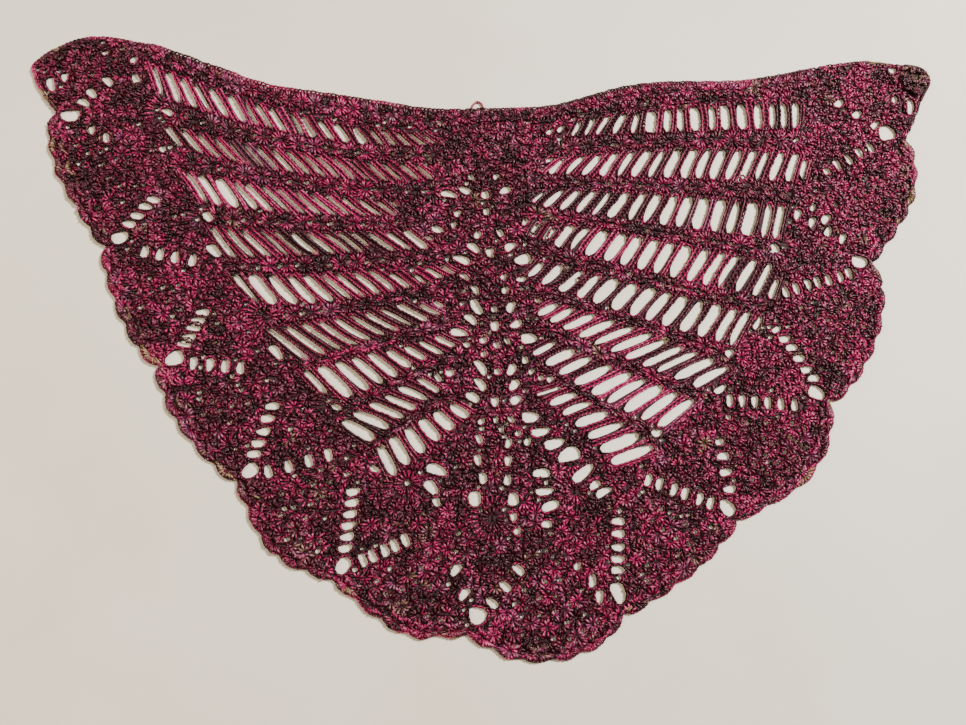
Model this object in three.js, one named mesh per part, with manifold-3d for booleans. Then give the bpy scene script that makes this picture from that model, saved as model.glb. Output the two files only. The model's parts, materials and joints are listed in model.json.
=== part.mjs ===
// A crocheted lace shawl, laid flat and face up. Millimetres, +Z up, neck edge towards +Y.
// Two wings of open rows meet at a spine. A border of dense wedges and open fans follows the
// lower edges, with a notch at the point of each wedge, and a solid band follows the neck.
import * as THREE from 'three';
import * as BufferGeometryUtils from 'three/addons/utils/BufferGeometryUtils.js';
import Module from 'manifold-3d';

const wasm = await Module();
wasm.setup();

const clothThickness = 4;
const yarnDiameter = 2.4;
const seamGap = 0.3;
const ribWidth = 6;
const ribHeight = 1.2;
const shellBump = 4.5;
const shellMean = 0.6;
const shellSteps = 4;
const neckSteps = 26;
const tipSteps = 14;
const ladderSlitsCut = 2;
const ladderSlit = { length: 16, width: 7 };
const slitEndInset = 1.5;
const narrowestCut = 3.2;
const shoulder = 0.2;
const outside = 60;

// The notches between the scallops, from the left tip round the point to the right tip, each with
// the root that its dense wedge grows from, the hole inside the notch and the two ladders of slits
// that run to that hole from the fans on either side.
const notches = [
  { at: [-513, 257], root: [-393, 262], hole: [-500, 257], reach: 20, wide: 11,
    before: [[-462, 298], [-478, 283], 2], after: null },
  { at: [-449, 100], root: [-343, 137], hole: [-437, 112], reach: 18, wide: 11,
    before: [[-405, 155], [-430, 127], 4], after: [[-358, 86], [-410, 96], 4] },
  { at: [-386, -34], root: [-275, 20], hole: [-372, -26], reach: 20, wide: 12,
    before: [[-347, 23], [-364, -10], 4], after: [[-300, -36], [-352, -31], 4] },
  { at: [-300, -158], root: [-197, -80], hole: [-288, -148], reach: 18, wide: 11,
    before: [[-265, -80], [-284, -131], 5], after: [[-205, -133], [-268, -149], 4] },
  { at: [-198, -263], root: [-120, -165], hole: [-188, -250], reach: 18, wide: 11,
    before: [[-180, -170], [-188, -231], 6], after: [[-122, -225], [-168, -245], 5] },
  { at: [-57, -323], root: [-28, -205], hole: [-50, -308], reach: 16, wide: 11,
    before: [[-70, -262], [-66, -288], 2], after: [[0, -263], [-30, -297], 3] },
  { at: [112, -307], root: [65, -178], hole: [107, -290], reach: 18, wide: 12,
    before: [[68, -262], [92, -286], 3], after: [[112, -212], [109, -270], 5] },
  { at: [246, -213], root: [160, -113], hole: [238, -199], reach: 20, wide: 12,
    before: [[148, -166], [220, -194], 6], after: [[235, -125], [242, -178], 4] },
  { at: [368, -79], root: [254, -22], hole: [356, -71], reach: 20, wide: 13,
    before: [[250, -78], [328, -84], 6], after: [[323, -5], [354, -54], 5] },
  { at: [440, 88], root: [321, 106], hole: [427, 90], reach: 20, wide: 12,
    before: [[330, 52], [412, 74], 7], after: [[354, 148], [408, 118], 4] },
  { at: [503, 247], root: [362, 247], hole: [484, 256], reach: 24, wide: 14,
    before: [[397, 205], [457, 238], 5], after: [[422, 297], [467, 268], 3] },
];

// The scallops between the notches: the root of each fan, four points on its edge between
// the two notches, and how many shells the edge has.
const scallops = [
  { root: [-405, 195], edge: [[-520, 235], [-513, 202], [-500, 170], [-467, 120]], shells: 6 },
  { root: [-344, 65], edge: [[-451, 88], [-445, 60], [-430, 20], [-405, -19]], shells: 5 },
  { root: [-273, -53], edge: [[-386, -48], [-369, -90], [-342, -125], [-314, -150]], shells: 5 },
  { root: [-185, -140], edge: [[-290, -183], [-272, -222], [-248, -244], [-215, -257]], shells: 5 },
  { root: [-88, -232], edge: [[-186, -274], [-155, -301], [-118, -323], [-80, -324]], shells: 5 },
  { root: [30, -245], edge: [[-33, -338], [0, -352], [50, -352], [92, -334]], shells: 6 },
  { root: [138, -185], edge: [[128, -304], [162, -287], [203, -261], [237, -227]], shells: 5 },
  { root: [249, -97], edge: [[288, -196], [330, -174], [358, -140], [369, -105]], shells: 5 },
  { root: [335, 25], edge: [[392, -68], [424, -30], [443, 10], [451, 52]], shells: 6 },
  { root: [385, 177], edge: [[468, 118], [498, 156], [510, 188], [512, 226]], shells: 6 },
];

// The two tips and the neck edge, each from left to right.
const leftTip = [[-530, 277], [-543, 300], [-545, 320], [-520, 342], [-480, 356]];
const neckLeft = [[-480, 356], [-430, 348], [-400, 343], [-320, 314], [-270, 299], [-160, 285],
  [-100, 275], [-46, 274]];
const neckRight = [[0, 277], [60, 283], [140, 309], [200, 319], [300, 324], [400, 345], [460, 354]];
const rightTip = [[460, 354], [500, 351], [536, 346], [546, 328], [533, 304], [521, 278]];

// The open rows, nine on the left wing and eight on the right, from the neck down. Each has its
// upper and lower edge, from the spine outwards, as a curve through three points, and its slits.
// A slit is where it starts on the lower edge, where it ends on the upper one and its width, in
// hundredths of the row. A short slit also has the shares of the way up at which it starts and ends.
const openRows = [
  { upper: [[-100, 243], [-245, 262], [-408, 318]],
    lower: [[-78, 231], [-213, 233], [-386, 276]], slits: [
      [2.5, 0.7, 1.8], [8.1, 6.1, 2.2], [15.4, 11.5, 2], [22.2, 17.7, 2.2], [27.6, 22.6, 1.5],
      [35, 28.8, 3.3], [41.5, 36.3, 3.2], [47.3, 42.8, 2.2], [54.3, 48.9, 3.2], [58.9, 53.7, 1.5],
      [64.6, 60.7, 2.7], [69.3, 66, 1.8], [74, 70, 1.4], [78.2, 75.4, 3], [83.8, 82.4, 2.6],
      [89, 87.5, 1.4], [93.5, 91.8, 2.3], [98.6, 96.4, 2.6], [103.4, 101.2, 1.5],
    ] },
  { upper: [[-92, 203], [-240, 214], [-393, 245]],
    lower: [[-80, 187], [-219, 187], [-370, 218]], slits: [
      [3.8, 6, 2.3], [9.8, 12.5, 2], [16.8, 19.5, 1.5], [23.1, 25.4, 1.9], [30.1, 33, 1.6],
      [36.5, 38.7, 2.1], [42.7, 45, 2.2], [48.5, 50.4, 1.8], [54.3, 56.5, 2.5], [60.5, 61.6, 2.2],
      [66.5, 67.4, 2.3], [71.7, 72.5, 1.4], [77.5, 78, 1.3], [81.7, 83, 1.8], [87.9, 89.1, 2.4],
      [94.5, 94.5, 2.4], [102, 100, 2.8],
    ] },
  { upper: [[-132, 157], [-250, 169], [-372, 190]],
    lower: [[-122, 142], [-228, 141], [-340, 152]], slits: [
      [1, 2.5, 2.5, 0.65, 1], [5.2, 9.8, 3], [12.8, 18.7, 2.8], [21.3, 26.5, 2.8], [30.5, 34.6, 3],
      [37.7, 41.9, 2.4], [45.4, 48.9, 3], [53.9, 57.6, 3.2], [61.4, 64.9, 2.5], [69.9, 71.9, 4.2],
      [77.9, 77.3, 4.2], [87, 84.8, 5.6], [95.4, 93, 4.8], [102.4, 99.3, 2.6],
    ] },
  { upper: [[-112, 123], [-225, 119], [-343, 125]],
    lower: [[-88, 102], [-203, 94], [-322, 88]], slits: [
      [4, 4.8, 5.4], [12.3, 14.5, 3], [20.6, 23.6, 3.2], [30, 31.5, 2.4, 0.3, 1], [35.6, 38.8, 2.6],
      [41.8, 45.9, 2.2], [49.7, 53.9, 2.8], [57.2, 61.2, 3], [65.5, 69.4, 3], [71.6, 76.2, 1.8],
      [79.6, 84.4, 3], [87.2, 91.4, 2.8], [95.3, 98.2, 3.4],
    ] },
  { upper: [[-70, 92], [-190, 72], [-308, 70]],
    lower: [[-54, 77], [-165, 44], [-276, 36]], slits: [
      [5.6, 7.1, 2.6, 0, 0.6], [11.5, 14.6, 2.8, 0, 0.7], [20.8, 21.8, 1.6, 0, 0.5],
      [28.4, 31.6, 3.2, 0, 0.75], [36.4, 39.6, 2.8], [43.7, 46.8, 2.8], [51.2, 54, 2.8], [58, 61.2, 2.8],
      [66.9, 69, 4.4], [76, 76.4, 4.2], [84.8, 84.7, 5.2], [95.2, 94, 7], [104, 101.8, 3.4],
    ] },
  { upper: [[-98, 43], [-185, 23], [-272, 8]],
    lower: [[-72, 25], [-150, -2], [-234, -30]], slits: [
      [5.2, 7.9, 3.8, 0.1, 0.8], [16.2, 19.1, 6], [27.6, 30.9, 2.6], [37.3, 39.6, 4], [46.8, 49.4, 3.2],
      [56.4, 59.3, 4], [65.6, 69.4, 4], [76.3, 80.2, 4], [86, 90.2, 4], [96.8, 100.6, 4.2],
    ] },
  { upper: [[-72, 6], [-150, -17], [-228, -38]],
    lower: [[-56, -8], [-120, -42], [-190, -74]], slits: [
      [7.7, 12, 5.4, 0.05, 0.85], [19.7, 24.2, 4, 0, 0.9], [32.1, 35, 4.8, 0.1, 0.85],
      [44.6, 47.1, 6.2, 0.1, 0.9], [58.2, 58.5, 6], [69.8, 69.6, 5.8], [81, 81, 6.6], [93.4, 92.8, 8.2],
      [104.4, 103.4, 4, 0.3, 1],
    ] },
  { upper: [[-98, -46], [-145, -68], [-190, -95]],
    lower: [[-84, -64], [-116, -87], [-158, -118]], slits: [
      [2, 11, 9], [23.4, 33.4, 8.4], [42.4, 50, 8], [60.6, 68, 8.4], [80, 87, 9.4], [98, 101, 9.4],
    ] },
  { upper: [[-72, -80], [-110, -98], [-150, -124]],
    lower: [[-52, -93], [-92, -124], [-132, -155]], slits: [
      [0, -1, 11.5], [21.4, 23.2, 12], [41, 44.4, 11.5], [62.8, 64, 10.6], [83.2, 83.7, 11.5],
      [101.5, 100.3, 9],
    ] },
  { upper: [[89, 264], [224, 285], [369, 297]],
    lower: [[77, 244], [215, 253], [357, 261]], slits: [
      [0.6, 0.3, 2], [6.7, 7, 2.4], [11.9, 14.6, 2.6], [19.5, 21.8, 3], [27.8, 27.6, 2.2],
      [35.9, 34.2, 5.4], [43.5, 41.5, 3.1], [49.8, 46.8, 2.8], [56.6, 53.4, 4.4], [63.6, 60.7, 2.5],
      [70.3, 66.5, 4.4], [77.7, 74.2, 3.9], [84.7, 81.9, 3.2], [91, 88.1, 2.2], [96.2, 92.9, 2.6],
      [101.2, 98.7, 3],
    ] },
  { upper: [[69, 214], [215, 229.5], [369, 227.5]],
    lower: [[43, 195.5], [194, 192.5], [357, 190.5]], slits: [
      [2.5, -0.4, 3.6], [9.4, 8.5, 2.5], [15.8, 15.4, 3.1], [23.3, 22.6, 3.8], [30.3, 29.5, 2.3],
      [36, 36.4, 4], [42.7, 42.7, 2.3], [49.1, 48.3, 3.9], [56.1, 55.6, 4.1], [61.9, 61.9, 2.9],
      [67.3, 67.5, 3.6], [72.9, 74, 3.1], [78.7, 80.4, 3], [84.5, 85.8, 2], [90, 91.6, 3],
      [96.2, 97.6, 3.3], [101.7, 102, 1.8, 0.1, 0.8],
    ] },
  { upper: [[40, 175.5], [186, 171.5], [343, 159.5]],
    lower: [[22, 157], [168, 135], [328, 116]], slits: [
      [1.4, 2.2, 1.8, 0.15, 0.85], [7.1, 9.2, 2.7], [14, 16.1, 2.9], [20.8, 22.8, 2.8],
      [27.1, 28.7, 1.8], [33.5, 36.1, 3.6], [42.1, 43.1, 2.7], [47.9, 48.9, 3.2], [54.8, 55.5, 3.6],
      [61.1, 61.5, 3.6], [67.8, 67.5, 4.4], [75, 74.4, 4], [80.5, 80.3, 2.7], [87.1, 86.8, 5.2],
      [93.5, 92.7, 2.4], [98.3, 97.8, 3],
    ] },
  { upper: [[38, 136], [178, 114], [320, 86]],
    lower: [[20, 116], [152, 78], [302, 44]], slits: [
      [1.5, 0.4, 2.6, 0.1, 0.85], [7.1, 6, 2, 0.1, 0.9], [13.7, 13.5, 4.8], [20.5, 20.5, 2.4],
      [27.2, 27.5, 4.5], [35.5, 35.5, 4.5], [42.6, 42.1, 3.9], [49.9, 49.4, 4], [56.7, 56.1, 3.7],
      [63.5, 62.8, 4.6], [70.1, 70.8, 3.5], [76.6, 78, 3.6], [82.4, 84.4, 2.4], [89.4, 92, 3],
      [95.8, 98, 3.1], [102.3, 102.8, 2.2, 0, 0.6],
    ] },
  { upper: [[43, 87], [163, 56], [287, 26]],
    lower: [[27, 63], [132, 25], [254, -13]], slits: [
      [-4.2, -1.6, 3.2, 0.1, 0.9], [4.7, 7.4, 4.1], [14.5, 17.3, 4.5], [25.2, 26.2, 3.9],
      [33.8, 34.6, 5.6], [43.7, 43.7, 6], [53.2, 52.7, 5.4], [60.9, 60.2, 4.2], [69.2, 68, 5.3],
      [77.7, 75.4, 4.5], [86.3, 83.9, 5.2], [94.5, 91.9, 3.7], [101, 98.4, 3.1],
    ] },
  { upper: [[52, 36], [158, 2], [250, -38]],
    lower: [[30, 23], [113, -20], [210, -62]], slits: [
      [0.2, 0.7, 4.4], [9.2, 8.8, 4.4], [18.5, 20.4, 5.4], [29.5, 31, 5.4], [39.6, 42, 4.5],
      [50, 52.5, 5.3], [59.4, 61.5, 4.8], [69.7, 71.6, 4.9], [78.4, 80.8, 4.2], [88.2, 91, 6.6],
      [99.1, 101.4, 5.2],
    ] },
  { upper: [[46, -8], [130, -44], [206, -76]],
    lower: [[24, -24], [84, -66], [160, -106]], slits: [
      [-1, 1.7, 4.6], [12.2, 14.3, 7.4], [25.3, 26, 5.8], [38.8, 39.6, 6.9], [53.3, 53.5, 8.6],
      [65.9, 64.4, 5.8], [78.4, 76.3, 8.8], [90.6, 88.2, 6.2], [101.8, 101.3, 6.4],
    ] },
  { upper: [[52, -60], [102, -88], [154, -127]],
    lower: [[26, -70], [68, -104], [107, -147]], slits: [
      [0, 1.5, 6.5], [16.8, 19.6, 8.6], [33.4, 36.4, 6.6], [50.2, 54.4, 9.2], [67, 71, 7.4],
      [84.3, 87.6, 10.8], [99.6, 102.6, 8.4],
    ] },
];

// Holes that stand alone, with the length and tilt of each: four stars down the spine, the pairs
// beside them, those below the last open rows, and the ones inside the tips.
const loneHoles = [
  { at: [-27, 168], long: 11, wide: 9, tilt: 90 },
  { at: [-23, 97], long: 11, wide: 9, tilt: 90 },
  { at: [-20, 10], long: 12, wide: 10, tilt: 90 },
  { at: [-22, -77], long: 11, wide: 9, tilt: 90 },
  { at: [-4, 173], long: 14, wide: 8, tilt: 30 },
  { at: [-43, 103], long: 14, wide: 8, tilt: 140 },
  { at: [-40, 34], long: 18, wide: 8, tilt: 120 },
  { at: [-38, -38], long: 20, wide: 9, tilt: 125 },
  { at: [-46, -183], long: 16, wide: 13, tilt: 90 },
  { at: [-5, -184], long: 14, wide: 11, tilt: 90 },
  { at: [-34, -160], long: 12, wide: 9, tilt: 100 },
  { at: [-88, -152], long: 24, wide: 10, tilt: 160 },
  { at: [-94, -171], long: 20, wide: 10, tilt: 130 },
  { at: [24, -5], long: 16, wide: 10, tilt: 0 },
  { at: [24, -94], long: 14, wide: 11, tilt: 0 },
  { at: [30, -111], long: 19, wide: 8, tilt: 15 },
  { at: [43, -124], long: 22, wide: 10, tilt: 15 },
  { at: [60, -140], long: 26, wide: 14, tilt: 20 },
  { at: [74, -156], long: 30, wide: 9, tilt: 38 },
  { at: [31, -158], long: 18, wide: 9, tilt: 0 },
  { at: [32, -176], long: 20, wide: 7, tilt: 5 },
  { at: [37, -193], long: 20, wide: 9, tilt: 20 },
  { at: [-486, 271], long: 16, wide: 7, tilt: 150 },
  { at: [497, 304], long: 12, wide: 8, tilt: 80 },
  { at: [517, 297], long: 24, wide: 10, tilt: 80 },
];

// Where the sections are parted: the lower edge of the neck band, whose left half is in two
// lengths, the two sides of the spine, the inner edge of each tip, and how far from a root or a
// notch a part line runs.
const bandLeft = [[-26, 258], [-66, 252], [-100, 249], [-160, 258], [-240, 267], [-330, 291],
  [-418, 328]];
const bandMiddle = -26;
const bandLeftPart = 4;
const bandEnds = [-432, 396];
const bandRight = [[-26, 258], [40, 264], [110, 278], [160, 291], [220, 297], [300, 301], [388, 316]];
const spineLeft = [[-62, 252], [-72, 150], [-52, 92], [-52, 0], [-52, -90], [-66, -160], [-60, -217]];
const spineRight = [[8, 260], [13, 150], [12, 60], [12, -60], [13, -150], [12, -224]];
const tipPartLeft = [[-541, 291]];
const tipPartRight = [[430, 309], [525, 277]];
const tipCornerShare = 0.15;
const rootClear = 6;
const fanRootClear = 12;
const notchClear = 0.16;

// The right tip is turned over on itself: what lies on top, and the rim where the cloth turns.
const foldOver = [[541, 306], [560, 330], [545, 360], [513, 352], [508, 330], [520, 310]];
const foldRim = [[548, 300], [570, 330], [550, 370], [505, 370], [505, 345], [530, 341], [539, 327],
  [529, 306]];

// The end of the yarn at the middle of the neck, as a small loop lying beside the edge.
const yarnEnd = [[-42, 275.05], [-40, 281], [-35, 285.5], [-30, 283], [-27.5, 275.9]];
const yarnEndSides = 6;
const yarnEndSteps = 14;

// Roughness and colours of the yarn in the sections of the shawl.
const yarnRoughness = 0.75;
const colours = {
  wingLeft: 0x7d2340, wingRight: 0xa02a55, spine: 0x6a2038, band: 0x8a2848,
  wedge: 0x5c2030, fan: 0x93305a, tip: 0x74283c, end: 0x8a2848,
};

function vector(pair) {
  return new THREE.Vector2(pair[0], pair[1]);
}

function threePointCurve(points, t) {
  const [a, b, c] = points.map(vector);
  const first = a.multiplyScalar(2 * (t - 0.5) * (t - 1));
  const middle = b.multiplyScalar(-4 * t * (t - 1));
  const last = c.multiplyScalar(2 * t * (t - 0.5));
  return first.add(middle).add(last);
}

function smoothEdge(points, steps) {
  return new THREE.SplineCurve(points.map(vector)).getSpacedPoints(steps);
}

// The side of an edge that looks away from the middle of the shawl: 1 or -1.
function facing(along, point) {
  return along.y * point.x - along.x * point.y > 0 ? -1 : 1;
}

// The edge of a scallop, with a bump for each of its shells.
function scallopEdge(index) {
  const { edge, shells } = scallops[index];
  const ends = [notches[index].at, ...edge, notches[index + 1].at];
  const curve = new THREE.SplineCurve(ends.map(vector));
  const steps = shells * shellSteps;
  return curve.getSpacedPoints(steps).map((point, step) => {
    const share = step / steps;
    const along = curve.getTangentAt(share);
    const wave = Math.abs(Math.sin(Math.PI * shells * share)) - shellMean * Math.sin(Math.PI * share);
    const outward = new THREE.Vector2(-along.y, along.x).multiplyScalar(facing(along, point));
    return point.addScaledVector(outward, shellBump * wave);
  });
}

function wholeOutline() {
  const lower = scallops.flatMap((_, index) => scallopEdge(index).slice(0, -1));
  const last = vector(notches[notches.length - 1].at);
  const right = smoothEdge([...rightTip, notches[notches.length - 1].at], tipSteps).reverse();
  const left = smoothEdge([notches[0].at, ...leftTip], tipSteps).reverse();
  const top = [...smoothEdge(neckLeft, neckSteps).slice(1), ...smoothEdge(neckRight, neckSteps)];
  return [
    ...lower, last, ...right.slice(1, -1), ...top.reverse(), ...left.slice(0, -1),
  ];
}

// A long hole with a point at each end.
function hexagon(start, end, width) {
  const along = end.clone().sub(start);
  const side = new THREE.Vector2(-along.y, along.x).setLength(width / 2);
  const place = (share, turn) => start.clone().addScaledVector(along, share).addScaledVector(side, turn);
  return [
    place(0, 0), place(shoulder, -1), place(1 - shoulder, -1),
    place(1, 0), place(1 - shoulder, 1), place(shoulder, 1),
  ];
}

function centredHole({ at, long, wide, tilt }) {
  const angle = THREE.MathUtils.degToRad(tilt);
  const half = new THREE.Vector2(Math.cos(angle), Math.sin(angle)).multiplyScalar(long / 2);
  return hexagon(vector(at).sub(half), vector(at).add(half), wide);
}

function rowSlits({ slits, upper, lower }) {
  const place = (share, rise) => threePointCurve(lower, share / 100)
    .lerp(threePointCurve(upper, share / 100), rise);
  return slits.flatMap(([below, above, width, from = 0, to = 1]) => {
    const low = place(below, from);
    const high = place(above, to);
    const along = high.clone().sub(low).normalize();
    const middle = (below + above) / 2;
    const stretch = place(middle + width, 0.5).sub(place(middle, 0.5));
    const wide = Math.abs(stretch.cross(along));
    const inset = along.multiplyScalar(slitEndInset);
    return wide < narrowestCut ? [] : [hexagon(low.add(inset), high.sub(inset), wide)];
  });
}

// The slits of a ladder lie across it, and the ones nearest the notch are the largest.
function ladderSlits(ladder) {
  if (!ladder) return [];
  const [from, to, count] = ladder;
  const start = vector(from);
  const along = vector(to).sub(start);
  const tilt = THREE.MathUtils.radToDeg(along.angle()) + 90;
  const firstCut = Math.max(0, count - ladderSlitsCut);
  return Array.from({ length: count - firstCut }, (_, index) => {
    const share = (firstCut + index) / (count - 1);
    const at = start.clone().addScaledVector(along, share).toArray();
    return centredHole({ at, long: ladderSlit.length, wide: ladderSlit.width, tilt });
  });
}

function notchHole({ at, root, hole, reach, wide }) {
  const tilt = THREE.MathUtils.radToDeg(vector(at).sub(vector(root)).angle());
  return centredHole({ at: hole, long: reach, wide, tilt });
}

function allHoles() {
  return [
    ...openRows.flatMap(rowSlits),
    ...notches.map(notchHole),
    ...notches.flatMap(({ before, after }) => [...ladderSlits(before), ...ladderSlits(after)]),
    ...loneHoles.map(centredHole),
  ];
}

function solid(geometry) {
  geometry.deleteAttribute('normal');
  geometry.deleteAttribute('uv');
  const merged = BufferGeometryUtils.mergeVertices(geometry, 1e-4);
  return new wasm.Manifold(new wasm.Mesh({
    numProp: 3,
    vertProperties: merged.attributes.position.array,
    triVerts: new Uint32Array(merged.index.array),
  }));
}

function prism(outline, low, high) {
  const geometry = new THREE.ExtrudeGeometry(new THREE.Shape(outline), {
    depth: high - low, bevelEnabled: false, steps: 1,
  });
  geometry.translate(0, 0, low);
  return solid(geometry);
}

// A low rib with a sloping back on each side, along a line on the face of the cloth.
function rib(points) {
  const sunk = clothThickness - 1;
  const crest = clothThickness + ribHeight;
  const position = [];
  points.forEach((point, index) => {
    const before = points[Math.max(index - 1, 0)];
    const after = points[Math.min(index + 1, points.length - 1)];
    const along = after.clone().sub(before);
    const side = new THREE.Vector2(-along.y, along.x).setLength(ribWidth / 2);
    position.push(point.x + side.x, point.y + side.y, sunk);
    position.push(point.x - side.x, point.y - side.y, sunk);
    position.push(point.x, point.y, crest);
  });
  const faces = [[0, 1, 2]];
  for (let index = 0; index < points.length - 1; index += 1) {
    const here = 3 * index;
    const next = here + 3;
    for (const [a, b] of [[1, 0], [2, 1], [0, 2]]) {
      faces.push([here + a, here + b, next + b], [here + a, next + b, next + a]);
    }
  }
  const last = 3 * (points.length - 1);
  faces.push([last + 1, last, last + 2]);
  const geometry = new THREE.BufferGeometry();
  geometry.setAttribute('position', new THREE.Float32BufferAttribute(position, 3));
  geometry.setIndex(faces.flat());
  return solid(geometry);
}

// A rib on the solid stitches above each open row.
function rowRibs() {
  const rise = 11;
  const ends = 0.04;
  const pieces = 5;
  return openRows.map(({ upper }) => rib(Array.from({ length: pieces + 1 }, (_, index) => {
    const share = ends + (1 - 2 * ends) * index / pieces;
    return threePointCurve(upper, share).add(new THREE.Vector2(0, rise));
  })));
}

// Three ribs spread from the root of each wedge towards its notch.
function wedgeRibs() {
  const spread = 0.16;
  const start = 0.18;
  const end = 0.62;
  return notches.flatMap(({ root, hole }) => [-spread, 0, spread].map((turn) => {
    const along = vector(hole).sub(vector(root)).rotateAround(new THREE.Vector2(), turn);
    const place = (share) => vector(root).addScaledVector(along, share);
    return rib([place(start), place(end)]);
  }));
}

function moved(from, towards, distance) {
  const step = vector(towards).sub(vector(from)).setLength(distance);
  return vector(from).add(step).toArray();
}

function edgeMiddle(index) {
  const { edge } = scallops[index];
  return edge[1].map((value, axis) => (value + edge[2][axis]) / 2);
}

// The part line between the wings and the border passes outside each wedge root and inside each
// fan root.
function wedgeCorner(index) {
  return moved(notches[index].root, notches[index].at, rootClear);
}

function fanCorner(index) {
  return moved(scallops[index].root, edgeMiddle(index), -fanRootClear);
}

function borderLine(from, to) {
  const line = [];
  for (let index = from; index <= to; index += 1) {
    line.push(wedgeCorner(index));
    if (index < to) line.push(fanCorner(index));
  }
  return line;
}

// Where a tip, the end wedge and the wing meet: a little below the end of the neck band.
function tipCorner(band, index) {
  return vector(band.at(-1)).lerp(vector(wedgeCorner(index)), tipCornerShare).toArray();
}

// The part line from a fan root to the edge beside a notch, carried on past the edge.
function edgePoint(index, share) {
  const edge = scallopEdge(index);
  const point = edge[Math.round(share * (edge.length - 1))];
  return [point.toArray(), moved(point.toArray(), [0, 0], -outside)];
}

const lastNotch = notches.length - 1;
const pointNotch = 5;
const farLeft = [-640, 290];
const farRight = [640, 240];
const farOut = 640;
const farUp = 460;

function wedgeRegion(index) {
  const inner = [wedgeCorner(index)];
  const startSide = index === 0
    ? [tipCorner(bandLeft, 0), tipPartLeft[0], moved(tipPartLeft[0], [0, 0], -outside)]
    : [fanCorner(index - 1), ...edgePoint(index - 1, 1 - notchClear)];
  const endSide = index === lastNotch
    ? [tipCorner(bandRight, lastNotch), ...tipPartRight, moved(tipPartRight[1], [0, 0], -outside)]
    : [fanCorner(index), ...edgePoint(index, notchClear)];
  return [...inner, ...startSide, ...endSide.reverse()];
}

function fanRegion(index) {
  const [near, nearOut] = edgePoint(index, notchClear);
  const [far, farOut] = edgePoint(index, 1 - notchClear);
  const middleOut = moved(edgeMiddle(index), [0, 0], -2 * outside);
  return [fanCorner(index), near, nearOut, middleOut, farOut, far];
}

const nearBand = bandLeft.slice(0, bandLeftPart + 1);
const farBand = bandLeft.slice(bandLeftPart);
const bandPartUp = [bandLeft[bandLeftPart][0], farUp];
const regions = [
  ['neck_band_left', 'band', [...nearBand, bandPartUp, [bandMiddle, farUp]]],
  ['neck_band_left_end', 'band', [...farBand, [bandEnds[0], farUp], bandPartUp]],
  ['neck_band_right', 'band', [...bandRight, [bandEnds[1], farUp], [bandMiddle, farUp]]],
  ['spine', 'spine', [bandLeft[0], ...spineLeft, wedgeCorner(pointNotch), ...spineRight.toReversed()]],
  ['wing_left', 'wingLeft', [...bandLeft.slice(1), ...borderLine(0, pointNotch - 1),
    fanCorner(pointNotch - 1), ...spineLeft.toReversed()]],
  ['wing_right', 'wingRight', [...bandRight.slice(1), ...borderLine(pointNotch + 1, lastNotch).reverse(),
    fanCorner(pointNotch), ...spineRight.toReversed()]],
  ['tip_left', 'tip', [bandLeft.at(-1), tipCorner(bandLeft, 0), ...tipPartLeft, farLeft,
    [-farOut, farUp], [bandEnds[0], farUp]]],
  ['tip_right', 'tip', [bandRight.at(-1), tipCorner(bandRight, lastNotch), ...tipPartRight, farRight,
    [farOut, farUp], [bandEnds[1], farUp]]],
  ...notches.map((_, index) => [`wedge_${index + 1}`, 'wedge', wedgeRegion(index)]),
  ...scallops.map((_, index) => [`fan_${index + 1}`, 'fan', fanRegion(index)]),
];

// A region drawn in on every side by half the seam gap, so that neighbours stand clear.
const sharpestCorner = 0.3;
function drawnIn(points) {
  const corners = points.map(vector);
  const clockwise = THREE.ShapeUtils.area(corners) < 0;
  if (clockwise) corners.reverse();
  return corners.map((corner, index) => {
    const before = corners[(index + corners.length - 1) % corners.length];
    const after = corners[(index + 1) % corners.length];
    const first = corner.clone().sub(before).normalize();
    const second = after.clone().sub(corner).normalize();
    const bisector = new THREE.Vector2(-first.y - second.y, first.x + second.x).normalize();
    const spread = Math.max(sharpestCorner, bisector.dot(new THREE.Vector2(-first.y, first.x)));
    return corner.clone().addScaledVector(bisector, seamGap / 2 / spread);
  });
}

// The right tip with its fold: the cloth turns up at the rim and lies back on the tip.
function foldedTip(tip) {
  const top = 2 * clothThickness + seamGap;
  const flap = prism(foldOver.map(vector), clothThickness + seamGap, top);
  const rim = prism(foldRim.map(vector), 0, top);
  const edge = prism(wholeOutline(), 0, top);
  return tip.add(flap.intersect(edge)).add(rim.intersect(edge));
}

function toGeometry(body) {
  const mesh = body.getMesh();
  const geometry = new THREE.BufferGeometry();
  geometry.setAttribute('position', new THREE.BufferAttribute(new Float32Array(mesh.vertProperties), 3));
  geometry.setIndex(new THREE.BufferAttribute(new Uint32Array(mesh.triVerts), 1));
  geometry.computeVertexNormals();
  return geometry;
}

function yarnEndGeometry() {
  const path = new THREE.CatmullRomCurve3(
    yarnEnd.map(([x, y]) => new THREE.Vector3(x, y, yarnDiameter / 2)),
  );
  const section = new THREE.Shape(Array.from({ length: yarnEndSides }, (_, index) => {
    const angle = 2 * Math.PI * index / yarnEndSides;
    return new THREE.Vector2(Math.cos(angle), Math.sin(angle)).multiplyScalar(yarnDiameter / 2);
  }));
  const geometry = new THREE.ExtrudeGeometry(section, {
    steps: yarnEndSteps, bevelEnabled: false, extrudePath: path,
  });
  return toGeometry(solid(geometry));
}

function material(colour) {
  return new THREE.MeshStandardMaterial({ color: colours[colour], roughness: yarnRoughness });
}

const wall = prism(wholeOutline(), 0, clothThickness);
const ribs = wasm.Manifold.union([...rowRibs(), ...wedgeRibs()]);
const deep = -1;
const tall = 3 * clothThickness;
const cutters = wasm.Manifold.union(allHoles().map((hole) => prism(hole, deep, tall)));
const cloth = wall.add(ribs).subtract(cutters);

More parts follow.
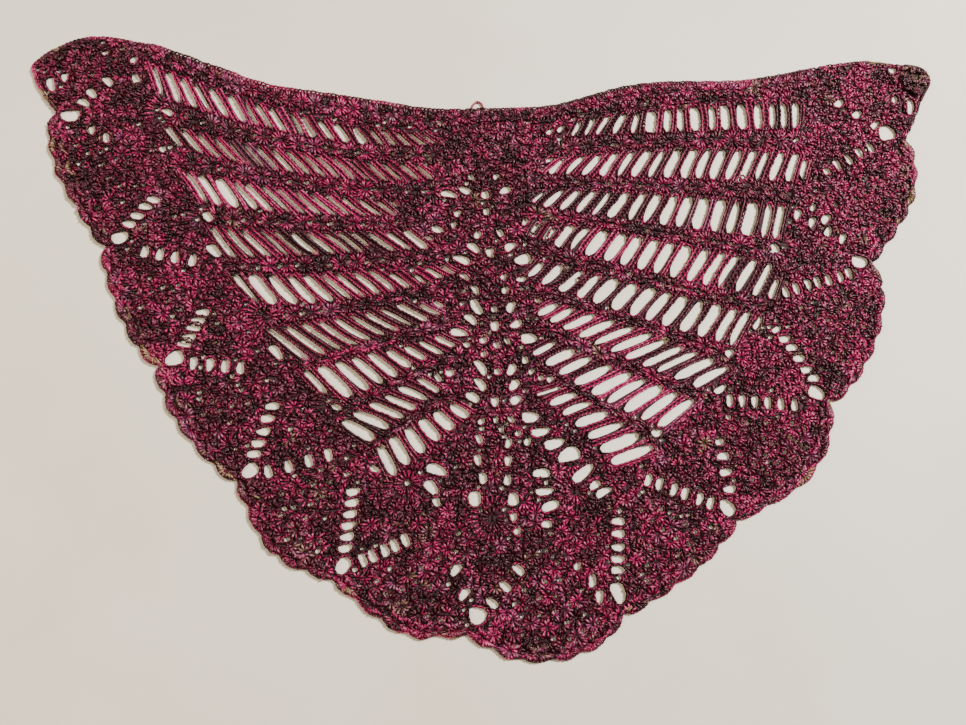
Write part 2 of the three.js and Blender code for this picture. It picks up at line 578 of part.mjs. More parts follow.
const shawl = new THREE.Group();
for (const [name, colour, region] of regions) {
  let body = cloth.intersect(prism(drawnIn(region), deep, tall));
  if (name === 'tip_right') body = foldedTip(body);
  const mesh = new THREE.Mesh(toGeometry(body), material(colour));
  mesh.name = name;
  shawl.add(mesh);
}
const end = new THREE.Mesh(yarnEndGeometry(), material('end'));
end.name = 'yarn_end';
shawl.add(end);

// The origin stands on the surface, under the middle of the whole shawl.
const reach = new THREE.Box3().setFromObject(shawl).getCenter(new THREE.Vector3());
shawl.position.set(-reach.x, -reach.y, 0);

export default shawl;
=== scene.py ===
import json
import math

import bpy
import numpy as np
from mathutils import Matrix, Quaternion, Vector
from mathutils.geometry import delaunay_2d_cdt


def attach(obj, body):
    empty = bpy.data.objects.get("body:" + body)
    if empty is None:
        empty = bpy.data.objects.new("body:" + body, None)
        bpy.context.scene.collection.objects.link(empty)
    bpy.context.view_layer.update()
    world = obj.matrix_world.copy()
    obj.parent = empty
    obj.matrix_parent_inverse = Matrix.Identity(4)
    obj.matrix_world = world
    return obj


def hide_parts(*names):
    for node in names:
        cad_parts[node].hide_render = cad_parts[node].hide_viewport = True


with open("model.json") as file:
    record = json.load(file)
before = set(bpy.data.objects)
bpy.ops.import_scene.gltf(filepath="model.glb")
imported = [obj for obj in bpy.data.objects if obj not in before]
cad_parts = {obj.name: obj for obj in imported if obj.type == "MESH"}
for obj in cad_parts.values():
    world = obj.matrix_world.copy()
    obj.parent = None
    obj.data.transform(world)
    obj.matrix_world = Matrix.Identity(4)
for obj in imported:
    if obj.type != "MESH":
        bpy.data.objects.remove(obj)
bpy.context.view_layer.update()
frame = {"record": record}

MM = 0.001
CHART_MIDDLE = np.array([-0.27, 0.18])
SEED = 11
chance = np.random.default_rng(SEED)

# Half the thickness of each kind of strand.
YARN = 1.15
FINE_YARN = 1.08
RAY_YARN = 1.26
BAR_YARN = 1.35
WRAP_YARN = 0.82
STAR_YARN = 1.2
NECK_YARN = 1.2
END_YARN = 1.25

# A ray is one strand of a stitch. It springs from a sunken node, rises and dips at its tip. Where a
# hole is in its way it is shorter. Its tones are painted light: painted shade at the sunken node, and a
# painted highlight where it rises highest.
RAY_SHARES = np.array([0.14, 0.4, 0.74, 1.0])
RAY_HEIGHTS = np.array([0.8, 2.7, 4.0, 3.0])
RAY_PAINTED_LIGHT = np.array([0.2, 0.72, 1.2, 0.6])
RAY_TAPER = np.array([0.8, 1.0, 1.05, 0.85])
SHORTER = (1.0, 0.82, 0.64)
WRAP_SHARE = 0.15
LOOP_SHARE = 0.25

# A link is one side of a V: its places along the chain and out of it. Chains stray a little.
LINK_SHAPE = ((-0.12, 0.15), (0.2, 1.0), (0.72, 1.05), (1.15, 0.2))
CHAIN = 5.4
CHAIN_STRAY = 0.4
BAR_LINK = 5.0
END_BAR = 2.8

# How high the other strands lie along their length, in millimetres off the floor, and their painted
# light there, painted shade where they sink and a painted highlight where they rise: the links of chains
# and bars, wound yarn, wraps over rays, loops at tips, single strands over bare places, and the strands
# round the edge of the fold.
LINK_RISES = np.array([-0.9, 0.1, 0.4, -0.3])
LINK_PAINTED_LIGHT = np.array([0.6, 1.0, 1.05, 0.6])
BAR_HEIGHTS = 2.4 + np.array([-0.9, 0.2, 0.6, -0.3])
BAR_PAINTED_LIGHT = np.array([0.35, 0.95, 1.1, 0.5])
WOUND_HEIGHTS = np.array([1.7, 3.3, 2.0])
WOUND_PAINTED_LIGHT = np.array([0.5, 1.05, 0.6])
WRAP_HEIGHTS = np.array([2.7, 4.2, 2.7])
WRAP_PAINTED_LIGHT = np.array([0.6, 1.15, 0.6])
LOOP_HEIGHTS = np.array([2.2, 3.9, 2.2])
LOOP_PAINTED_LIGHT = np.array([0.55, 1.1, 0.6])
SINGLE_HEIGHTS = np.array([1.9, 3.3, 1.9])
SINGLE_PAINTED_LIGHT = np.array([0.5, 1.0, 0.5])
FOLD_HEIGHTS = np.array([1.4, 2.2, 5.0, 6.6])
TONE_RANGE = (0.64, 1.16)

# The shells of the edging: how far each bulges, and how far in its root and its back are.
SHELL_BUMP = 4.5
SHELL_MEAN = 0.6
SHELL_ROOT = 8.5
EDGE_DEPTH = 15.0

# Stars of stitches stand this far apart in the solid rows and in the neck band. In the tips, fans
# and wedges they stand in rings round a root: the first ring, the step to the next, and the step
# along a ring.
STAR_PITCH = 20.0
NECK_PITCH = 15.0
NET_FIRST = 14.0
NET_RISE = 15.0
NET_PITCH = 17.0
NET_REACH = 9.6
WEDGE_FIRST = 33.0
WEDGE_RISE = 13.0
WEDGE_PITCH = 13.5
WEDGE_REACH = 8.2

# Slits are a little wider than they were read, and slits and holes are bent and narrower at one end.
SLIT_SHARES = {"left": 1.15, "right": 1.14}
SLIT_BOW = 1.1
SLIT_TAPER = 0.13
HOLE_BOW = 0.1
HOLE_TAPER = 0.32

# The small gaps: those of the nets between the stars, and those where the stitches leave room.
NET_OPEN = 0.75
NET_SIZES = (3.6, 5.4)
NET_CLEAR = 7.0
GAP_SIZES = (3.0, 4.6)
GAP_RADIUS = 1.9
GAP_PITCH = 3.4
GAP_SHARE = 0.13
GAP_APART = 9.5

# The room that the stitches leave round a slit or a hole, and round a gap in a net or the fold.
HOLE_ROOM = 3.0
NET_ROOM = 2.2
FOLD_ROOM = 2.0

# The thin wall of yarn behind the stitches: its underside, its top and the grid of its faces. Its
# near-black colour is painted shade between the stitches.
WEB_LOW = 1.3
WEB_HIGH = 1.9
WEB_INSET = 1.5
WEB_COLUMNS = np.arange(-540, 541, 18)
WEB_ROWS = np.arange(-350, 351, 18)

# The notches between the scallops, from the left tip round the point to the right tip. Each has
# the root that its dense wedge grows from, the hole inside the notch with its length and width,
# and the two ladders of slits that run to that hole from the fans on either side of it.
NOTCHES = [
    dict(at=(-513, 257), root=(-393, 262), hole=(-500, 257), reach=22, wide=14,
         before=((-462, 298), (-478, 283), 2), after=None),
    dict(at=(-449, 100), root=(-343, 137), hole=(-437, 112), reach=19, wide=14,
         before=((-403, 156), (-428, 128), 4, -12), after=((-358, 86), (-410, 96), 4)),
    dict(at=(-386, -34), root=(-275, 20), hole=(-372, -26), reach=21, wide=15,
         before=((-344, 26), (-362, -10), 5, -2), after=((-300, -36), (-352, -31), 4)),
    dict(at=(-300, -158), root=(-197, -80), hole=(-288, -148), reach=19, wide=14,
         before=((-266, -80), (-284, -131), 5, 3), after=((-205, -133), (-268, -149), 4)),
    dict(at=(-198, -263), root=(-120, -165), hole=(-188, -250), reach=19, wide=14,
         before=((-178, -172), (-186, -231), 6, 12), after=((-122, -225), (-168, -245), 5)),
    dict(at=(-57, -323), root=(-28, -205), hole=(-47, -306), reach=18, wide=19,
         before=((-68, -258), (-59, -284), 2, 48), after=((-1, -260), (-30, -293), 3)),
    dict(at=(112, -307), root=(65, -178), hole=(107, -288), reach=24, wide=15,
         before=((79, -273), (88, -291), 2, 88), after=((112, -212), (109, -264), 5)),
    dict(at=(246, -213), root=(160, -113), hole=(238, -199), reach=21, wide=15,
         before=((148, -166), (220, -194), 6), after=((235, -125), (242, -178), 4)),
    dict(at=(368, -79), root=(254, -22), hole=(356, -71), reach=21, wide=15,
         before=((250, -78), (328, -84), 6), after=((323, -5), (354, -54), 5, 8)),
    dict(at=(440, 88), root=(321, 106), hole=(427, 90), reach=21, wide=15,
         before=((330, 52), (412, 74), 7), after=((354, 148), (408, 118), 4)),
    dict(at=(503, 247), root=(362, 247), hole=(482, 256), reach=23, wide=20,
         before=((397, 205), (457, 238), 5), after=((422, 297), (467, 268), 3, 35)),
]

# The scallops between the notches: the root of each fan, four points on its edge, and the number
# of shells along that edge.
SCALLOPS = [
    dict(root=(-405, 195), edge=((-520, 235), (-513, 202), (-500, 170), (-467, 120)), shells=6),
    dict(root=(-344, 65), edge=((-451, 88), (-445, 60), (-430, 20), (-405, -19)), shells=5),
    dict(root=(-273, -53), edge=((-386, -48), (-369, -90), (-342, -125), (-314, -150)), shells=5),
    dict(root=(-185, -140), edge=((-290, -183), (-272, -222), (-248, -244), (-215, -257)), shells=5),
    dict(root=(-88, -232), edge=((-186, -274), (-155, -301), (-118, -323), (-80, -324)), shells=5),
    dict(root=(30, -245), edge=((-33, -338), (0, -352), (50, -352), (92, -334)), shells=6),
    dict(root=(138, -185), edge=((128, -304), (162, -287), (203, -261), (237, -227)), shells=5),
    dict(root=(249, -97), edge=((288, -196), (330, -174), (358, -140), (369, -105)), shells=5),
    dict(root=(335, 25), edge=((392, -68), (424, -30), (443, 10), (451, 52)), shells=6),
    dict(root=(385, 177), edge=((468, 118), (498, 156), (510, 188), (512, 226)), shells=6),
]

LEFT_TIP = ((-529, 277), (-541, 299), (-543.5, 318), (-519, 338.5), (-480, 354))
NECK_LEFT = ((-480, 354), (-430, 347.5), (-400, 341), (-320, 312), (-270, 297), (-160, 283),
             (-100, 274), (-46, 273))
NECK_RIGHT = ((0, 276), (60, 282), (140, 307), (200, 317), (300, 322), (400, 343.5), (460, 354))
RIGHT_TIP = ((460, 354), (500, 351), (536, 346), (546, 328), (533, 304), (521, 278))

# The open rows of the wings, nine on the left and eight on the right. Each has its upper and lower
# edge, from the spine outwards, as a curve through three points, and its slits. A slit is where it
# starts on the lower edge, where it ends on the upper one and its width, in hundredths of the row.
# A short slit also has the shares of the way up at which it starts and ends.
OPEN_ROWS = [
    dict(wing="left", upper=((-100, 243), (-245, 262), (-408, 318)),
         lower=((-78, 231), (-213, 233), (-386, 276)), slits=[
             (2.5, 0.7, 1.8), (8.1, 6.1, 2.2), (15.4, 11.5, 2), (22.2, 17.7, 2.2), (27.6, 22.6, 1.5),
             (35, 28.8, 3.3), (41.5, 36.3, 3.2), (47.3, 42.8, 2.2), (54.3, 48.9, 3.2), (58.9, 53.7, 1.5),
             (64.6, 60.7, 2.7), (69.3, 66, 1.8), (74, 70, 1.4), (78.2, 75.4, 3), (83.8, 82.4, 2.6),
             (89, 87.5, 1.4), (93.5, 91.8, 2.3), (98.6, 96.4, 2.6), (103.4, 101.2, 1.5)]),
    dict(wing="left", upper=((-92, 203), (-240, 214), (-393, 245)),
         lower=((-80, 187), (-219, 187), (-370, 218)), slits=[
             (3.8, 6, 2.3), (9.8, 12.5, 2), (16.8, 19.5, 1.5), (23.1, 25.4, 1.9), (30.1, 33, 1.6),
             (36.5, 38.7, 2.1), (42.7, 45, 2.2), (48.5, 50.4, 1.8), (54.3, 56.5, 2.5), (60.5, 61.6, 2.2),
             (66.5, 67.4, 2.3), (71.7, 72.5, 1.4), (77.5, 78, 1.3), (81.7, 83, 1.8), (87.9, 89.1, 2.4),
             (94.5, 94.5, 2.4), (102, 100, 2.8)]),
    dict(wing="left", upper=((-132, 157), (-250, 169), (-372, 190)),
         lower=((-122, 142), (-228, 141), (-340, 152)), slits=[
             (1, 2.5, 2.5, 0.65, 1), (5.2, 9.8, 3), (12.8, 18.7, 2.8), (21.3, 26.5, 2.8),
             (30.5, 34.6, 3), (37.7, 41.9, 2.4), (45.4, 48.9, 3), (53.9, 57.6, 3.2), (61.4, 64.9, 2.5),
             (69.9, 71.9, 4.2), (77.9, 77.3, 4.2), (87, 84.8, 5.6), (95.4, 93, 4.8), (102.4, 99.3, 2.6)]),
    dict(wing="left", upper=((-112, 123), (-225, 119), (-343, 125)),
         lower=((-88, 102), (-203, 94), (-322, 88)), slits=[
             (4, 4.8, 5.4), (12.3, 14.5, 3), (20.6, 23.6, 3.2), (30, 31.5, 2.4, 0.3, 1),
             (35.6, 38.8, 2.6), (41.8, 45.9, 2.2), (49.7, 53.9, 2.8), (57.2, 61.2, 3), (65.5, 69.4, 3),
             (71.6, 76.2, 1.8), (79.6, 84.4, 3), (87.2, 91.4, 2.8), (95.3, 98.2, 3.4)]),
    dict(wing="left", upper=((-70, 92), (-190, 72), (-308, 70)),
         lower=((-54, 77), (-165, 44), (-276, 36)), slits=[
             (5.6, 7.1, 2.6, 0, 0.6), (11.5, 14.6, 2.8, 0, 0.7), (20.8, 21.8, 1.6, 0, 0.5),
             (28.4, 31.6, 3.2, 0, 0.75), (36.4, 39.6, 2.8), (43.7, 46.8, 2.8), (51.2, 54, 2.8),
             (58, 61.2, 2.8), (66.9, 69, 4.4), (76, 76.4, 4.2), (84.8, 84.7, 5.2), (95.2, 94, 7),
             (104, 101.8, 3.4)]),
    dict(wing="left", upper=((-98, 43), (-185, 23), (-272, 8)),
         lower=((-72, 25), (-150, -2), (-234, -30)), slits=[
             (5.2, 7.9, 3.8, 0.1, 0.8), (16.2, 19.1, 6), (27.6, 30.9, 2.6), (37.3, 39.6, 4),
             (46.8, 49.4, 3.2), (56.4, 59.3, 4), (65.6, 69.4, 4), (76.3, 80.2, 4), (86, 90.2, 4),
             (96.8, 100.6, 4.2)]),
    dict(wing="left", upper=((-72, 6), (-150, -17), (-228, -38)),
         lower=((-56, -8), (-120, -42), (-190, -74)), slits=[
             (7.7, 12, 5.4, 0.05, 0.85), (19.7, 24.2, 4, 0, 0.9), (32.1, 35, 4.8, 0.1, 0.85),
             (44.6, 47.1, 6.2, 0.1, 0.9), (58.2, 58.5, 6), (69.8, 69.6, 5.8), (81, 81, 6.6),
             (93.4, 92.8, 8.2), (104.4, 103.4, 4, 0.3, 1)]),
    dict(wing="left", upper=((-98, -46), (-145, -68), (-190, -95)),
         lower=((-84, -64), (-116, -87), (-158, -118)), slits=[
             (2, 11, 9), (23.4, 33.4, 8.4), (42.4, 50, 8), (60.6, 68, 8.4), (80, 87, 9.4),
             (98, 101, 9.4)]),
    dict(wing="left", upper=((-72, -80), (-110, -98), (-150, -124)),
         lower=((-52, -93), (-92, -124), (-132, -155)), slits=[
             (0, -1, 11.5), (21.4, 23.2, 12), (41, 44.4, 11.5), (62.8, 64, 10.6), (83.2, 83.7, 11.5),
             (101.5, 100.3, 9)]),
    dict(wing="right", upper=((89, 264), (224, 285), (369, 297)),
         lower=((77, 244), (215, 253), (357, 261)), slits=[
             (0.6, 0.3, 2), (6.7, 7, 2.4), (11.9, 14.6, 2.6), (19.5, 21.8, 3), (27.8, 27.6, 2.2),
             (35.9, 34.2, 5.4), (43.5, 41.5, 3.1), (49.8, 46.8, 2.8), (56.6, 53.4, 4.4),
             (63.6, 60.7, 2.5), (70.3, 66.5, 4.4), (77.7, 74.2, 3.9), (84.7, 81.9, 3.2), (91, 88.1, 2.2),
             (96.2, 92.9, 2.6), (101.2, 98.7, 3)]),
    dict(wing="right", upper=((69, 214), (215, 229.5), (369, 227.5)),
         lower=((43, 195.5), (194, 192.5), (357, 190.5)), slits=[
             (2.5, -0.4, 3.6), (9.4, 8.5, 2.5), (15.8, 15.4, 3.1), (23.3, 22.6, 3.8), (30.3, 29.5, 2.3),
             (36, 36.4, 4), (42.7, 42.7, 2.3), (49.1, 48.3, 3.9), (56.1, 55.6, 4.1), (61.9, 61.9, 2.9),
             (67.3, 67.5, 3.6), (72.9, 74, 3.1), (78.7, 80.4, 3), (84.5, 85.8, 2), (90, 91.6, 3),
             (96.2, 97.6, 3.3), (101.7, 102, 1.8, 0.1, 0.8)]),
    dict(wing="right", upper=((40, 175.5), (186, 171.5), (343, 159.5)),
         lower=((22, 157), (168, 135), (328, 116)), slits=[
             (1.4, 2.2, 1.8, 0.15, 0.85), (7.1, 9.2, 2.7), (14, 16.1, 2.9), (20.8, 22.8, 2.8),
             (27.1, 28.7, 1.8), (33.5, 36.1, 3.6), (42.1, 43.1, 2.7), (47.9, 48.9, 3.2),
             (54.8, 55.5, 3.6), (61.1, 61.5, 3.6), (67.8, 67.5, 4.4), (75, 74.4, 4), (80.5, 80.3, 2.7),
             (87.1, 86.8, 5.2), (93.5, 92.7, 2.4), (98.3, 97.8, 3)]),
    dict(wing="right", upper=((38, 136), (178, 114), (320, 86)),
         lower=((20, 116), (152, 78), (302, 44)), slits=[
             (1.5, 0.4, 2.6, 0.1, 0.85), (7.1, 6, 2, 0.1, 0.9), (13.7, 13.5, 4.8), (20.5, 20.5, 2.4),
             (27.2, 27.5, 4.5), (35.5, 35.5, 4.5), (42.6, 42.1, 3.9), (49.9, 49.4, 4), (56.7, 56.1, 3.7),
             (63.5, 62.8, 4.6), (70.1, 70.8, 3.5), (76.6, 78, 3.6), (82.4, 84.4, 2.4), (89.4, 92, 3),
             (95.8, 98, 3.1), (102.3, 102.8, 2.2, 0, 0.6)]),
    dict(wing="right", upper=((43, 87), (163, 56), (287, 26)),
         lower=((27, 63), (132, 25), (254, -13)), slits=[
             (-4.2, -1.6, 3.2, 0.1, 0.9), (4.7, 7.4, 4.1), (14.5, 17.3, 4.5), (25.2, 26.2, 3.9),
             (33.8, 34.6, 5.6), (43.7, 43.7, 6), (53.2, 52.7, 5.4), (60.9, 60.2, 4.2), (69.2, 68, 5.3),
             (77.7, 75.4, 4.5), (86.3, 83.9, 5.2), (94.5, 91.9, 3.7), (101, 98.4, 3.1)]),
    dict(wing="right", upper=((52, 36), (158, 2), (250, -38)),
         lower=((30, 23), (113, -20), (210, -62)), slits=[
             (0.2, 0.7, 4.4), (9.2, 8.8, 4.4), (18.5, 20.4, 5.4), (29.5, 31, 5.4), (39.6, 42, 4.5),
             (50, 52.5, 5.3), (59.4, 61.5, 4.8), (69.7, 71.6, 4.9), (78.4, 80.8, 4.2), (88.2, 91, 6.6),
             (99.1, 101.4, 5.2)]),
    dict(wing="right", upper=((46, -8), (130, -44), (206, -76)),
         lower=((24, -24), (84, -66), (160, -106)), slits=[
             (-1, 1.7, 4.6), (12.2, 14.3, 7.4), (25.3, 26, 5.8), (38.8, 39.6, 6.9), (53.3, 53.5, 8.6),
             (65.9, 64.4, 5.8), (78.4, 76.3, 8.8), (90.6, 88.2, 6.2), (101.8, 101.3, 6.4)]),
    dict(wing="right", upper=((52, -60), (102, -88), (154, -127)),
         lower=((26, -70), (68, -104), (107, -147)), slits=[
             (0, 1.5, 6.5), (16.8, 19.6, 8.6), (33.4, 36.4, 6.6), (50.2, 54.4, 9.2), (67, 71, 7.4),
             (84.3, 87.6, 10.8), (99.6, 102.6, 8.4)]),
]

# Holes that stand alone: centre, length, width and tilt. First the stars down the spine.
STARS = [(-27, 168, 11, 9, 90), (-23, 97, 11, 9, 90), (-20, 10, 12, 10, 90), (-22, -77, 11, 9, 90)]
LONE_HOLES = [
    (-70, 166, 21, 8, 165), (-52, 174, 16, 8, 155), (-4, 173, 14, 8, 30), (-43, 189, 9, 6, 120),
    (-14, 190, 9, 6, 60), (-27, 147, 10, 7, 90), (-38, 119, 11, 7, 60), (-12, 121, 11, 7, 120),
    (1, 104, 15, 9, 30), (-43, 102, 17, 9, 140), (-84, 125, 14, 8, 160), (-96, 113, 12, 5, 160),
    (14, 90, 20, 12, 20), (-57, 88, 21, 9, 160), (-8, 68, 9, 6, 60), (12, 66, 12, 7, 20),
    (-54, 67, 12, 6, 140), (-7, 52, 10, 7, 60), (-42, 52, 12, 7, 120), (-40, 33, 21, 10, 120),
    (0, 32, 15, 9, 60), (-48, 17, 17, 9, 140), (4, 13, 15, 8, 30), (-61, 2, 20, 9, 170),
    (19, -5, 19, 12, 0), (-34, -6, 9, 7, 45), (-6, -8, 9, 6, 120), (-38, -38, 21, 9, 125),
    (-3, -40, 15, 9, 60), (-39, -57, 18, 9, 130), (0, -58, 15, 9, 50), (-47, -72, 17, 10, 150),
    (2, -75, 14, 9, 30), (18, -94, 20, 12, 0), (-38, -98, 9, 6, 45), (-4, -97, 9, 6, 130),
    (-40, -118, 12, 7, 110), (-8, -123, 12, 7, 70), (-42, -141, 13, 8, 100), (-8, -143, 12, 8, 80),
    (-46, -183, 17, 14, 90), (-5, -184, 15, 12, 90), (-38, -161, 13, 9, 100), (-10, -163, 13, 8, 80),
    (-4, -204, 10, 7, 90), (0, -219, 9, 7, 60), (-88, -152, 24, 11, 160), (-94, -171, 20, 11, 130),
    (-88, -185, 12, 8, 110), (29, -110, 22, 9, 10), (44, -124, 24, 11, 15), (60, -139, 27, 15, 20),
    (75, -157, 30, 11, 38), (88, -172, 14, 8, 30), (98, -180, 20, 8, 25), (28, -158, 20, 10, 0),
    (31, -176, 21, 8, 5), (37, -193, 21, 10, 20), (32, -213, 12, 8, 0), (-486, 271, 16, 8, 150),
    (497, 304, 12, 8, 80), (499, 344, 12, 8, 20), (516, 294, 22, 10, 80), (52, 250, 12, 5, 45),
    (66, 253, 13, 5, 48), (50, 212, 10, 5, 30), (360, 246, 10, 8, 30), (285, 191, 12, 6, 20),
    (320, 104, 14, 12, 30), (255, -23, 12, 8, 30), (240, -64, 18, 7, 30), (162, -113, 14, 9, 20),
    (292, 14, 20, 6, 55), (314, 6, 14, 6, 30), (397, 206, 10, 9, 0), (390, 142, 16, 9, 45),
    (374, 158, 12, 6, 60), (234, -126, 10, 8, 0), (247, -98, 7, 6, 0), (30, 40, 7, 6, 0),
    (31, -50, 7, 6, 0), (-394, 262, 14, 7, 150), (-396, 217, 9, 7, 120), (-343, 137, 14, 9, 130),
    (-335, 97, 20, 11, 145), (-264, -20, 21, 9, 130), (-197, -80, 12, 6, 150),
    (-155, -148, 12, 6, 150), (-84, 36, 14, 5, 150), (-522, 293, 19, 9, 108), (-508, 302, 12, 8, 90),
    (-466, 334, 8, 6, 20), (-434, 327, 10, 7, 60), (-430, 304, 14, 8, 115), (-474, 238, 12, 7, 100),
    (-458, 230, 14, 7, 95), (-60, 144, 10, 7, 60), (18, 135, 10, 6, 60), (51, 121, 16, 8, 60),
    (30, 127, 13, 7, 60), (-20, 30, 8, 7, 90), (-18, -12, 8, 7, 120), (-34, -22, 8, 6, 90),
    (-53, -11, 9, 6, 150), (-72, -43, 10, 8, 0), (-85, -48, 12, 6, 120), (-19, -42, 8, 7, 90),
    (13, -29, 10, 7, 90), (42, -52, 9, 6, 30), (-15, -108, 8, 6, 90), (3, -112, 8, 6, 60),
    (-22, -97, 8, 6, 90), (-66, 130, 9, 6, 90), (83, 64, 8, 6, 90), (20, -43, 8, 6, 60),
    (14, -122, 10, 7, 60), (65, -258, 10, 7, 60),
]

# The right tip is turned over on itself: the inner edge of what lies on top, and its small gaps.
FOLD_INNER = ((521, 309), (510, 320), (507, 335), (512, 350))
FOLD_HOLES = [(514, 338, 10, 7, 40), (527, 334, 11, 8, 40), (519, 321, 9, 7, 40), (533, 319, 10, 7, 50)]
FOLD_STEP = (3.0, 2.4)
FOLD_LIFT = 3.4
FOLD_CORNER = (513, 306)
FOLD_EDGE_CORNER = (511, 303)

# Part lines of the sections, as in the solids.
BAND_LEFT = ((-26, 258), (-66, 252), (-100, 249), (-160, 258), (-240, 267), (-330, 291), (-418, 328))
BAND_RIGHT = ((-26, 258), (40, 264), (110, 278), (160, 291), (220, 297), (300, 301), (388, 316))
SPINE_LEFT = ((-62, 252), (-72, 150), (-52, 92), (-52, 0), (-52, -90), (-66, -160), (-60, -217))
SPINE_RIGHT = ((8, 260), (13, 150), (12, 60), (12, -60), (13, -150), (12, -224))
TIP_PART_LEFT = ((-541, 291),)
TIP_PART_RIGHT = ((430, 309), (525, 277))
TIP_ROOTS = {"tip_left": (-428, 318), "tip_right": (405, 318)}
TIP_CORNER_SHARE = 0.15
ROOT_CLEAR = 6
FAN_ROOT_CLEAR = 12
NOTCH_CLEAR = 0.16
POINT_NOTCH = 5
OUTSIDE = 60
LADDER_SLIT = (15.5, 8.4)
NECK_MIDDLE = (-26, 275.5)
NECK_ENDS = (-424, 396)

# The end of the yarn: a small loop that stands out of the neck edge.
YARN_END = ((-42, 275), (-40, 281), (-35, 285.5), (-30, 283), (-27.5, 276))
END_HEIGHT = 1.4


def rotated(angle):
    return np.array([math.cos(angle), math.sin(angle)])


def ring_of(count, turned=0.0):
    """Unit vectors in equal steps all the way round."""
    angle = (np.arange(count) + turned) / count * 2 * math.pi
    return np.stack([np.cos(angle), np.sin(angle)], 1)


def across(along):
    """The unit vectors at a right angle, to the left of each direction."""
    along = np.asarray(along, float)
    length = np.linalg.norm(along, axis=-1, keepdims=True)
    return np.stack([-along[..., 1], along[..., 0]], -1) / np.maximum(length, 1e-9)


def three_point_curve(points, share):
    """A curve through three points: 0 is the first, 0.5 the second and 1 the third."""
    a, b, c = (np.array(point, float) for point in points)
    t = np.asarray(share, float)[..., None]
    return a * 2 * (t - 0.5) * (t - 1) - b * 4 * t * (t - 1) + c * 2 * t * (t - 0.5)


def even_points(line, count):
    """Points at equal distances along a line of points."""
    line = np.asarray(line, float)
    reach = np.concatenate([[0], np.cumsum(np.linalg.norm(np.diff(line, axis=0), axis=1))])
    at = np.linspace(0, reach[-1], count + 1)
    return np.stack([np.interp(at, reach, line[:, axis]) for axis in range(line.shape[1])], 1)


def spline(points, count):
    """A smooth curve through the points, in equal steps."""
    points = np.asarray(points, float)
    padded = np.vstack([points[:1], points, points[-1:]])
    t = np.linspace(0, 1, 24, endpoint=False)[:, None]
    runs = []
    for i in range(len(points) - 1):
        a, b, c, d = padded[i:i + 4]
        slope_in, slope_out = (c - a) / 2, (d - b) / 2
        runs.append((2 * b - 2 * c + slope_in + slope_out) * t ** 3
                    + (-3 * b + 3 * c - 2 * slope_in - slope_out) * t ** 2 + slope_in * t + b)
    return even_points(np.vstack(runs + [points[-1:]]), count)


def line_length(line):
    return float(np.linalg.norm(np.diff(np.asarray(line, float), axis=0), axis=1).sum())


def outward(line):
    """Unit vectors across a line, on the side away from the middle of the shawl."""
    side = across(np.gradient(line, axis=0))
    facing = np.sign((side * line).sum(1))
    return side * np.where(facing == 0, 1, facing)[:, None]


def scallop_curve(index, steps):
    """The edge of a scallop, with the bulges of its shells."""
    ends = [NOTCHES[index]["at"], *SCALLOPS[index]["edge"], NOTCHES[index + 1]["at"]]
    line = spline(ends, steps)
    share = np.linspace(0, 1, steps + 1)
    bulges = np.abs(np.sin(np.pi * SCALLOPS[index]["shells"] * share))
    bulges = bulges - SHELL_MEAN * np.sin(np.pi * share)
    return line + outward(line) * (SHELL_BUMP * bulges)[:, None]


def whole_outline():
    """The edge of the shawl, all the way round from the left tip along the scallops."""
    lower = [scallop_curve(i, s["shells"] * 8)[:-1] for i, s in enumerate(SCALLOPS)]
    right = spline((*RIGHT_TIP, NOTCHES[-1]["at"]), 30)[::-1]
    left = spline((NOTCHES[0]["at"], *LEFT_TIP), 30)[::-1]
    top = np.vstack([spline(NECK_LEFT, 60)[1:], spline(NECK_RIGHT, 60)])[::-1]
    return np.vstack([*lower, right[:-1], top, left[:-1]])


def oval(x, y, length, width, tilt, points=12, bow=0.0, taper=0.0):
    """A hole's edge. Its middle may bow to one side, and it may be wider at one end."""
    angle = np.linspace(0, 2 * math.pi, points, endpoint=False)
    along = rotated(math.radians(tilt))
    rise = np.sign(np.sin(angle)) * np.abs(np.sin(angle)) ** 0.8
    run = np.sign(np.cos(angle)) * np.abs(np.cos(angle)) ** 0.8
    sideways = rise * width / 2 * (1 + taper * run) + bow * (1 - run ** 2)
    return np.array([x, y]) + np.outer(run * length / 2, along) + np.outer(sideways, across(along))


def hole_loop(x, y, length, width, tilt, points=12):
    """The edge of a single hole, bent and narrowed at one end, as the yarn pulls it."""
    bow = HOLE_BOW * length * math.sin(x + 2 * y)
    return oval(x, y, length, width, tilt, points, bow, HOLE_TAPER * math.sin(2 * x - y))


def widened(hole, extra):
    x, y, length, width, tilt = hole
    return x, y, length + extra, width + extra, tilt


